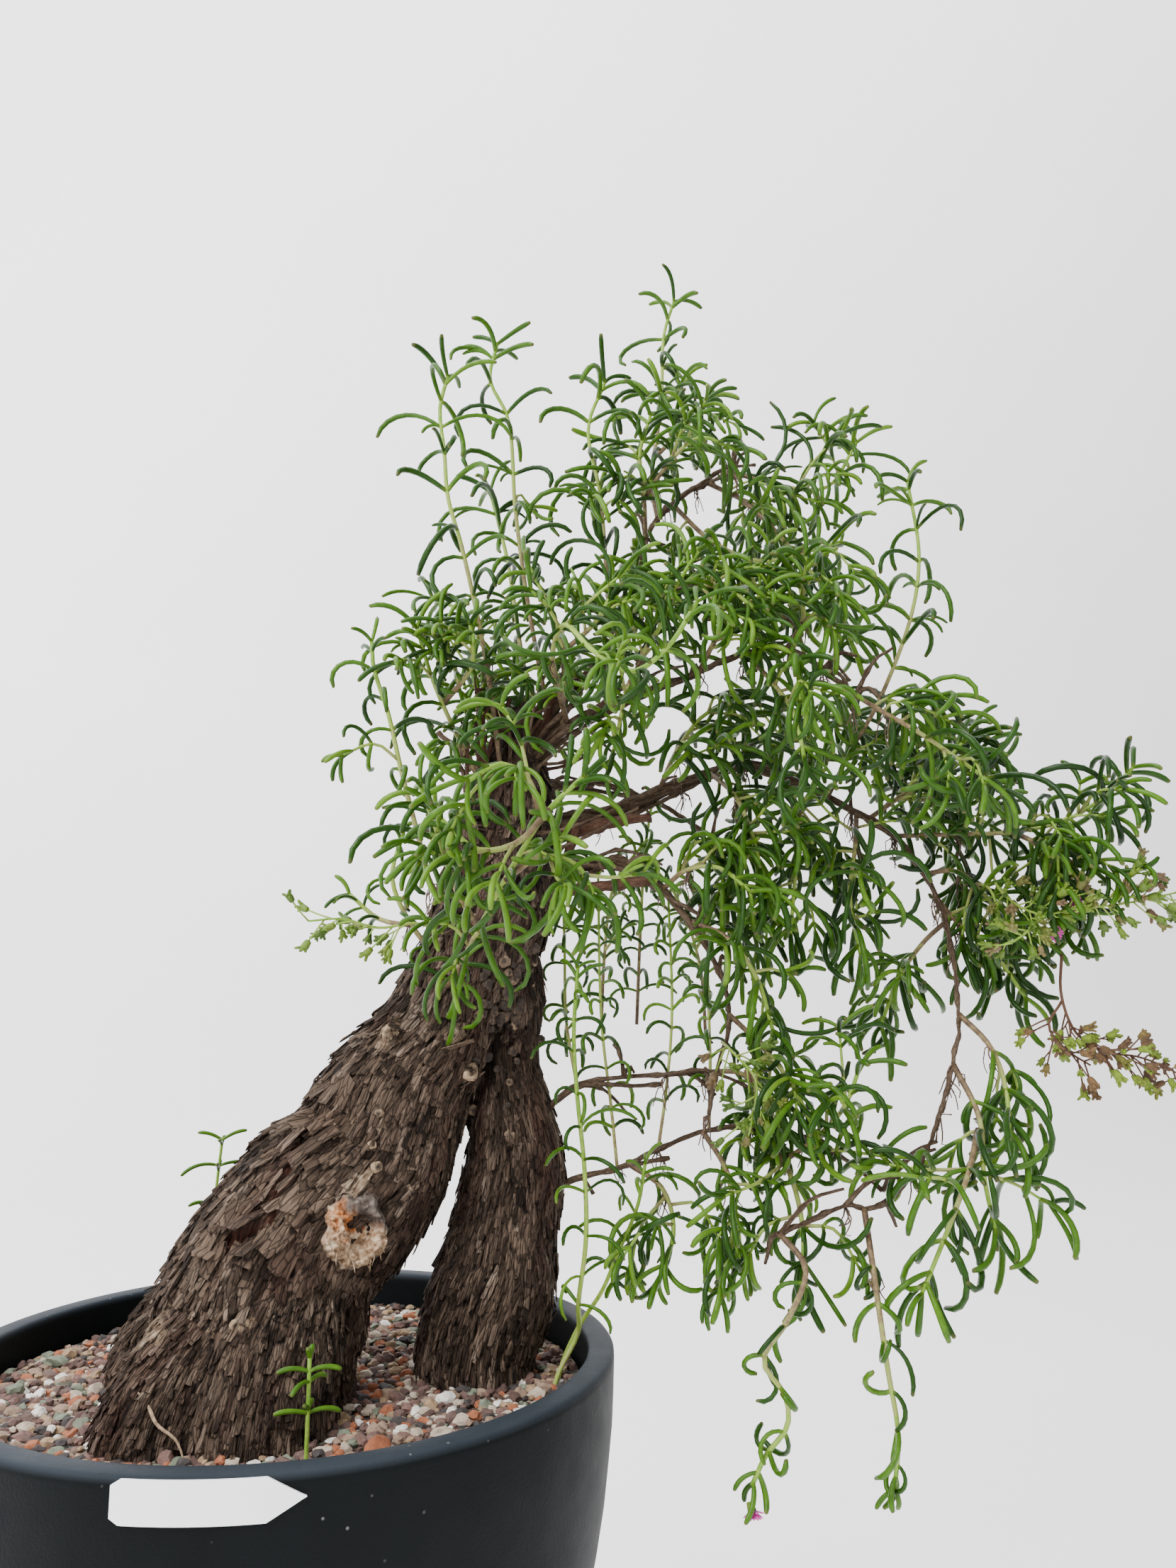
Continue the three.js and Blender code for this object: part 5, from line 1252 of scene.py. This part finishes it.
def leaf_pair(foliage, spot, angle, youth, habit):
    """Two long leaves on opposite sides of a joint, and the small new ones that crowd it."""
    chance = foliage.chance
    tone_and_painted_light, long, thick = habit[:3]
    frame3 = spot.to_3x3()
    forward = frame3.col[2]
    for side in (0, math.pi):
        around = angle + side + chance.uniform(-0.35, 0.35)
        outward = frame3 @ Vector((math.cos(around), math.sin(around), 0))
        rise = chance.uniform(0.75, 1.35) - 0.4 * youth
        start = forward * math.cos(rise) + outward * math.sin(rise)
        sideways = frame3 @ Vector((-math.sin(around), math.cos(around), 0)) * chance.uniform(-0.8, 0.8)
        falling = DOWN if chance.random() < 0.85 else -forward
        turn = chance.uniform(1.7, 3.7) * (1 - 0.6 * youth)
        reach = long * chance.uniform(0.72, 1.22) * (1 - 0.45 * youth)
        # The leaf tone carries the habit's painted light, with a random spread and a paler tone for young leaves.
        tone = min(1, max(0, tone_and_painted_light + chance.uniform(-0.32, 0.32) + 0.14 * youth))
        foliage.leaf(spot.translation, start, falling + sideways + outward * 0.2, turn, reach,
                     thick * chance.uniform(0.85, 1.1), tone)
        if youth < 0.6 and chance.random() < 0.45 and long > 22:
            for _ in range(chance.choice([1, 1, 2, 2])):
                small = around + chance.uniform(-0.9, 0.9)
                aside = frame3 @ Vector((math.cos(small), math.sin(small), 0))
                start = forward * chance.uniform(0.4, 1.1) + aside
                foliage.leaf(spot.translation, start, DOWN + aside * 0.3, chance.uniform(0.4, 2.2),
                             long * chance.uniform(0.25, 0.6), thick * chance.uniform(0.55, 0.8),
                             min(1, tone + 0.08))


def dress(foliage, points, bare, habit):
    """Sets crossed pairs of leaves on a stem, from its tip down to its bare foot."""
    chance = foliage.chance
    spots = stations(points)
    length = sum((q - p).length / MM for p, q in zip(points, points[1:]))
    along, spacing, angle = length, habit[3] * 0.22, chance.uniform(0, math.pi)
    while along > bare:
        spot = spots[min(int(along / length * (len(spots) - 1) + 0.5), len(spots) - 1)]
        leaf_pair(foliage, spot, angle, max(0, 1 - (length - along) / 14), habit)
        angle += math.pi / 2 + chance.uniform(-0.25, 0.25)
        along -= spacing * chance.uniform(0.85, 1.15)
        spacing = min(habit[3], spacing + habit[3] * 0.28)


def side_shoot(foliage, spot, habit):
    """A short new shoot that rises from a joint of an older one."""
    chance = foliage.chance
    around = chance.uniform(0, math.tau)
    outward = spot.to_3x3() @ Vector((math.cos(around), math.sin(around), 0))
    course = (outward + spot.to_3x3().col[2] * 0.6 + Vector((0, 0, 0.4))).normalized()
    sag = DOWN * chance.uniform(-0.2, 0.7)
    reach = chance.uniform(12, 34)
    foot = spot.translation / MM
    route = [foot, foot + course * reach * 0.5, foot + (course + sag).normalized() * reach]
    _, room, _ = nearest_limb(numpy.array([point[:] for point in route[1:]]))
    if room.min() < 4:
        return
    points = trace(route, 4)
    foliage.stem(points, 0.75, 0.5, 0.4)
    tone_and_painted_light, long, thick, spacing, _ = habit
    dress(foliage, points, 6, (tone_and_painted_light + 0.04, long * 0.9, thick * 0.95, spacing, 0))


for number, (name, routes) in enumerate(SHOOTS.items()):
    chance = random.Random(100 + number)
    foliage = Foliage(blank_leaf, chance)
    habit = habit_of(name)
    for route in routes:
        stem_points = trace(route[::-1] if name.startswith("back") else route, 4)
        foliage.stem(stem_points, 1.0 if name.startswith("back") else 1.2, 0.8)
        dress(foliage, stem_points, 12, habit)
        stem_spots = stations(stem_points)
        for _ in range(habit[4]):
            lowest = min(3, len(stem_spots) - 2)
            highest = max(lowest, int(len(stem_spots) * 0.75))
            side_shoot(foliage, stem_spots[chance.randint(lowest, highest)], habit)
    foliage.bend()
    bmesh.ops.recalc_face_normals(foliage.bm, faces=foliage.bm.faces)
    make_piece(name.replace("_shoot", "_leaves"), foliage.bm, [leaf_green, stem_green], [name])

for number, (name, (route, bare)) in enumerate(STANDING.items()):
    foliage = Foliage(blank_leaf, random.Random(200 + number))
    stem_points = trace(route, 4)
    if name in SEEDLING_PAIRS:
        foliage.stem(stem_points, 0.75, 0.65, 0.6)
        seedling_points = trace(route, 1)
        for down, long, around, opening in SEEDLING_PAIRS[name]:
            for side in (0, math.pi):
                aside = Vector((math.cos(around + side), math.sin(around + side), 0))
                start = aside * math.sin(opening) - DOWN * math.cos(opening)
                foliage.leaf(seedling_points[-1 - down], start, DOWN + aside, foliage.chance.uniform(0.6, 1.2),
                             long, 0.85, foliage.chance.uniform(0.5, 0.75))
    else:
        foliage.stem(stem_points, 1.1, 0.75, 0.55)
        dress(foliage, stem_points, bare, habit_of(name))
    foliage.bend()
    bmesh.ops.recalc_face_normals(foliage.bm, faces=foliage.bm.faces)
    make_piece(name + "_plant", foliage.bm, [leaf_green, stem_green], [name])

foliage = Foliage(blank_leaf, random.Random(250))
for route in SLENDER:
    stem_points = trace(route, 4)
    foliage.stem(stem_points, 0.8, 0.6, 0.35)
    dress(foliage, stem_points, 10, habit_of("slender"))
foliage.bend()
bmesh.ops.recalc_face_normals(foliage.bm, faces=foliage.bm.faces)
make_piece("slender_new_shoots", foliage.bm, [leaf_green, stem_green])

# Flower sprays. A thin stalk forks again and again, and each fork ends in a fleshy five-pointed calyx.
# One spray has dried brown, with its withered heads still on it.
SPRAYS = {
    "green_flower_spray": ("calyx", [
        ([(291, -32, 388), (284, -48, 366), (290, -66, 354), (304, -72, 356), (324, -73, 358), (350, -73, 363)],
         38, 0.25),
        ([(316, -72, 357), (328, -70, 367), (338, -69, 373)], 8, 0.3),
        ([(291, -66, 353), (284, -68, 347), (276, -68, 342)], 9, 0.2)]),
    "dried_flower_spray": ("dried_flower", [
        ([(304, -60, 338), (300, -64, 321), (304, -67, 306), (316, -69, 299), (329, -70, 297), (343, -72, 292)],
         30, 0.35),
        ([(300, -64, 319), (292, -66, 309), (298, -68, 300), (307, -70, 294)], 13, 0.3)]),
    "left_flower_spray": ("calyx", [
        ([(54, -22, 346), (42, -34, 349), (28, -38, 347), (14, -41, 350), (2, -43, 349)], 11, 0.35)]),
    "inner_flower_spray": ("calyx", [
        ([(164, -38, 303), (162, -56, 300), (168, -64, 290), (164, -68, 274)], 16, 0.2)]),
}


def calyx_finish():
    finish, tree, shader = new_finish("yellow_green_calyx")
    tone = add(tree, "Attribute", attribute_name="tone").outputs["Fac"]
    mottle = ramp(tree, grain(tree, 500), [(0.3, 0.8, 0.8, 0.8), (0.7, 1.2, 1.2, 1.2)])
    green = ramp(tree, tone, [(0.0, 0.035, 0.085, 0.003), (0.6, 0.115, 0.19, 0.006), (1.0, 0.14, 0.07, 0.04)])
    tree.links.new(blend(tree, 1.0, green, mottle, "MULTIPLY"), shader.inputs["Base Color"])
    shader.inputs["Roughness"].default_value = 0.6
    relief(tree, shader, grain(tree, 1200), 0.0003, 0.5)
    return finish


def dried_finish():
    finish, tree, shader = new_finish("dried_flower_brown")
    tone = add(tree, "Attribute", attribute_name="tone").outputs["Fac"]
    mottle = ramp(tree, grain(tree, 700), [(0.3, 0.6, 0.6, 0.6), (0.7, 1.3, 1.3, 1.3)])
    brown = ramp(tree, tone, [(0.0, 0.065, 0.032, 0.014), (0.45, 0.16, 0.09, 0.032), (0.6, 0.12, 0.17, 0.01),
                              (1.0, 0.16, 0.24, 0.015)])
    tree.links.new(blend(tree, 1.0, brown, mottle, "MULTIPLY"), shader.inputs["Base Color"])
    shader.inputs["Roughness"].default_value = 0.85
    relief(tree, shader, grain(tree, 1200), 0.0004, 0.8)
    return finish


def set_calyx(foliage, place, course, size):
    """A small round cup with five pointed sepals that open round its mouth."""
    chance = foliage.chance
    tone = chance.random()
    foliage.leaf(place, course, course + Vector((0.01, 0, 0)), 0.05, 3.4 * size, 1.45 * size, tone, 1)
    turned = course.to_track_quat("Z", "Y")
    for i in range(5):
        around = i * math.tau / 5 + chance.uniform(-0.2, 0.2)
        outward = turned @ Vector((math.cos(around), math.sin(around), 0))
        root = place + course * 1.6 * size * MM
        foliage.leaf(root, course + outward * 0.5, outward, chance.uniform(0.0, 0.6),
                     chance.uniform(2.6, 4.6) * size, 0.7 * size, tone, 0.7)


def grow_spray(foliage, route, forks, first):
    chance = foliage.chance
    points = trace(route, 3)
    foliage.stem(points, 0.65, 0.4, 0.5)
    spots = stations(points)
    for i in range(forks):
        spot = spots[int((first + (1 - first) * i / (forks - 1)) * (len(spots) - 1))]
        around = chance.uniform(0, math.tau)
        outward = spot.to_3x3() @ Vector((math.cos(around), math.sin(around), 0))
        course = (outward + spot.to_3x3().col[2] * 0.8).normalized()
        foot = spot.translation / MM
        reach = chance.uniform(5, 13)
        end = foot + course * reach + Vector((0, 0, chance.uniform(-1.5, 1.5)))
        fork = trace([foot, foot + course * reach * 0.55, end], 3)
        foliage.stem(fork, 0.38, 0.3, 0.6)
        set_calyx(foliage, fork[-1], (fork[-1] - fork[-2]).normalized(), chance.uniform(0.85, 1.25))
        if chance.random() < 0.6:
            twin = (course + Vector((chance.uniform(-1, 1), chance.uniform(-1, 1), chance.uniform(-1, 1)))).normalized()
            middle = fork[len(fork) // 2] / MM
            short = trace([middle, middle + twin * 2, middle + twin * 4.5], 2)
            foliage.stem(short, 0.32, 0.28, 0.6)
            set_calyx(foliage, short[-1], twin, chance.uniform(0.6, 0.95))


calyx_green, dried_brown = calyx_finish(), dried_finish()
for number, (name, (kind, stalks)) in enumerate(SPRAYS.items()):
    foliage = Foliage(blank_leaf, random.Random(300 + number))
    for route, forks, first in stalks:
        grow_spray(foliage, route, forks, first)
    foliage.bend()
    bmesh.ops.recalc_face_normals(foliage.bm, faces=foliage.bm.faces)
    fleshy = calyx_green if kind == "calyx" else dried_brown
    stalk = stem_green if kind == "calyx" else twig
    make_piece(name + "_heads", foliage.bm, [fleshy, stalk], [name])

# Blooms. Each small flower is two rings of narrow silky petals round a tuft of pale stamens.
BLOOMS = {
    "spray_bloom": ((302, -58, 347), (0.1, -0.8, -0.4)),
    "spray_side_bloom": ((309, -63, 358), (0.3, -0.9, 0.1)),
    "trailing_bloom": ((151, -96, 155), (0.1, -0.5, -0.9)),
}


def petal_finish():
    finish, tree, shader = new_finish("magenta_petal")
    along = add(tree, "Attribute", attribute_name="along").outputs["Fac"]
    tone = add(tree, "Attribute", attribute_name="tone").outputs["Fac"]
    petal = ramp(tree, along, [(0.0, 0.72, 0.42, 0.60), (0.3, 0.62, 0.10, 0.40), (1.0, 0.50, 0.045, 0.30)])
    tree.links.new(blend(tree, tone, petal, (0.75, 0.66, 0.45)), shader.inputs["Base Color"])
    shader.inputs["Roughness"].default_value = 0.5
    relief(tree, shader, grain(tree, 1500), 0.0002, 0.4)
    return finish


pink = petal_finish()
for number, (name, (centre, facing)) in enumerate(BLOOMS.items()):
    foliage = Foliage(blank_leaf, random.Random(400 + number))
    outward = Vector(facing).normalized()
    middle = Vector(centre) * MM
    turned = outward.to_track_quat("Z", "Y")
    foliage.stem([middle - outward * 0.0026, middle - outward * 0.0012, middle + outward * 0.0006], 1.2, 1.7)
    for i in range(30):
        around = i * math.tau / 15 + foliage.chance.uniform(-0.08, 0.08) + (0.2 if i > 14 else 0)
        aside = turned @ Vector((math.cos(around), math.sin(around), 0))
        lift = 0.3 if i < 15 else 0.75
        foliage.leaf(middle, aside + outward * lift, outward, 0.3, foliage.chance.uniform(3.3, 4.3),
                     0.5, 0, 0.35)
    for i in range(12):
        around = foliage.chance.uniform(0, math.tau)
        aside = turned @ Vector((math.cos(around), math.sin(around), 0))
        foliage.leaf(middle, outward + aside * 0.4, outward + aside, 0.1, 1.9, 0.18, 1)
    foliage.bend()
    bmesh.ops.recalc_face_normals(foliage.bm, faces=foliage.bm.faces)
    make_piece(name + "_petals", foliage.bm, [pink, calyx_green], [name])

# Dry threads and bare twigs. Old thin twigs run beside the branches and droop from them, and
# brown withered rootlets and leaf stalks hang in tufts from the joints.
def make_bare_twigs(chance):
    bm = wood_mesh()
    for route, radii in BRANCHES[:7]:
        for _ in range(5 if radii[0] > 3.5 else 1):
            drawn = route[:chance.randint(3, max(4, int(0.6 * len(route))))]
            loose = [Vector(drawn[0])] + [Vector(point) + Vector([chance.uniform(-5, 5) for _ in range(3)])
                                          for point in drawn[1:]]
            grow_wood(bm, loose, [1.4, 1.1, 0.8], 6, 3, 0)
        for _ in range(7):
            foot = Vector(route[chance.randint(1, len(route) - 1)])
            course = Vector((chance.uniform(-0.3, 1), chance.uniform(-1, 0.6), chance.uniform(-0.6, 0.6)))
            end = foot + course * chance.uniform(15, 35)
            grow_wood(bm, [foot, foot.lerp(end, 0.5) + Vector((0, 0, 4)), end], [1.1, 0.8, 0.6], 6, 3, 0)
    for _ in range(26):
        foot = Vector((chance.uniform(64, 94), chance.uniform(-14, 4), chance.uniform(366, 432)))
        course = Vector((chance.uniform(-0.5, 1), chance.uniform(-0.7, 0.2), chance.uniform(0.1, 1)))
        reach = chance.uniform(22, 60)
        middle = foot + course * reach * 0.5 + Vector([chance.uniform(-5, 5) for _ in range(3)])
        size = chance.uniform(0.8, 1.4)
        grow_wood(bm, [foot, middle, foot + course * reach], [size, size * 0.8, size * 0.55], 6, 3,
                  chance.choice([0, 0, 0.6]))
    bmesh.ops.recalc_face_normals(bm, faces=bm.faces)
    return bm


def make_threads(chance):
    bm = bmesh.new()
    bm.verts.layers.float.new("tone")
    feet = [point for route, _ in BRANCHES[:6] for point in route[2:]]
    feet += [route[0][1] for route in SHOOTS.values()]
    for foot in feet:
        if chance.random() < 0.35:
            continue
        for _ in range(chance.randint(3, 8)):
            place, route = Vector(foot), [Vector(foot)]
            for _ in range(4):
                place = place + Vector((chance.uniform(-2, 2), chance.uniform(-2, 2), chance.uniform(-5.5, 0.5)))
                route.append(place)
            spots = stations(trace(route, 2.5))
            sweep(bm, spots, [radius * MM for radius in spread([0.35, 0.22], len(spots))], 4)
    bmesh.ops.recalc_face_normals(bm, faces=bm.faces)
    return bm


def thread_finish():
    finish, tree, shader = new_finish("withered_thread")
    colour = ramp(tree, grain(tree, 180), [(0.35, 0.035, 0.020, 0.014), (0.65, 0.16, 0.10, 0.065)])
    tree.links.new(colour, shader.inputs["Base Color"])
    shader.inputs["Roughness"].default_value = 0.9
    return finish


make_piece("bare_twigs", make_bare_twigs(random.Random(51)), [twig])
make_piece("dry_threads", make_threads(random.Random(52)), [thread_finish()])
bpy.data.meshes.remove(blank_leaf)

# Floor and wall. A plain pale sweep that rises into a wall well behind the plant, which isn't part of it.
# It glows a little, more towards the upper left: painted light that stands in for window daylight falling on the wall.
SWEEP = [(-3, 0), (0.8, 0), (1.3, 0.03), (1.7, 0.12), (2.0, 0.3), (2.2, 0.6), (2.3, 1.0), (2.3, 6)]
backdrop = bmesh.new()
corners = [backdrop.verts.new((-5, y, z)) for y, z in SWEEP]
strip = [backdrop.edges.new(pair) for pair in zip(corners, corners[1:])]
drawn = bmesh.ops.extrude_edge_only(backdrop, edges=strip)["geom"]
bmesh.ops.translate(backdrop, vec=(10, 0, 0), verts=[v for v in drawn if isinstance(v, bmesh.types.BMVert)])
wall_mesh = bpy.data.meshes.new("pale_wall")
backdrop.to_mesh(wall_mesh)
backdrop.free()
wall_mesh.shade_smooth()
wall_finish, wall_tree, wall_shader = new_finish("pale_plaster_painted_glow")
wall_place = add(wall_tree, "SeparateXYZ", {"Vector": own_place(wall_tree)}).outputs
plaster = grain(wall_tree, 1.6, detail=5)
# The emission rises towards the left and the top: painted window light on the wall.
glow = add(wall_tree, "Math", {0: wall_place["X"], 1: -0.13, 2: 0.64}, operation="MULTIPLY_ADD").outputs[0]
glow = add(wall_tree, "Math", {0: wall_place["Z"], 1: 0.12, 2: glow}, operation="MULTIPLY_ADD").outputs[0]
glow = add(wall_tree, "Math", {0: plaster, 1: 0.08, 2: glow}, operation="MULTIPLY_ADD").outputs[0]
wall_tree.links.new(ramp(wall_tree, glow, [(0.0, 0.0, 0.0, 0.0), (0.45, 0.455, 0.445, 0.445), (1.0, 0.98, 0.985, 1.0)]),
                    wall_shader.inputs["Emission Color"])
wall_shader.inputs["Emission Strength"].default_value = 3.0
wall_shader.inputs["Base Color"].default_value = (0.30, 0.295, 0.30, 1)
wall_shader.inputs["Roughness"].default_value = 0.9
wall_shader.inputs["Specular IOR Level"].default_value = 0.1
wall_mesh.materials.append(wall_finish)
wall = bpy.data.objects.new("pale_wall", wall_mesh)
bpy.context.scene.collection.objects.link(wall)

# Light. Soft daylight from above and the left, with a broad fill from the front.
for name, place, aim, size, power in (
    ("window", (-1.0, -0.9, 1.5), (0.08, 0, 0.3), 1.1, 62),
    ("front_fill", (0.5, -1.6, 0.8), (0.1, 0, 0.35), 1.8, 8),
    ("overhead", (-0.1, -0.1, 1.9), (0.1, 0.2, 0.4), 1.2, 12),
):
    lamp = bpy.data.lights.new(name, "AREA")
    lamp.size = size
    lamp.energy = power
    light = bpy.data.objects.new(name, lamp)
    light.matrix_world = (Matrix.Translation(place)
                          @ (Vector(aim) - Vector(place)).to_track_quat("-Z", "Y").to_matrix().to_4x4())
    bpy.context.scene.collection.objects.link(light)
world = bpy.data.worlds.new("studio")
world.use_nodes = True
world.node_tree.nodes["Background"].inputs["Color"].default_value = (0.92, 0.95, 1.0, 1)
world.node_tree.nodes["Background"].inputs["Strength"].default_value = 0.6
bpy.context.scene.world = world
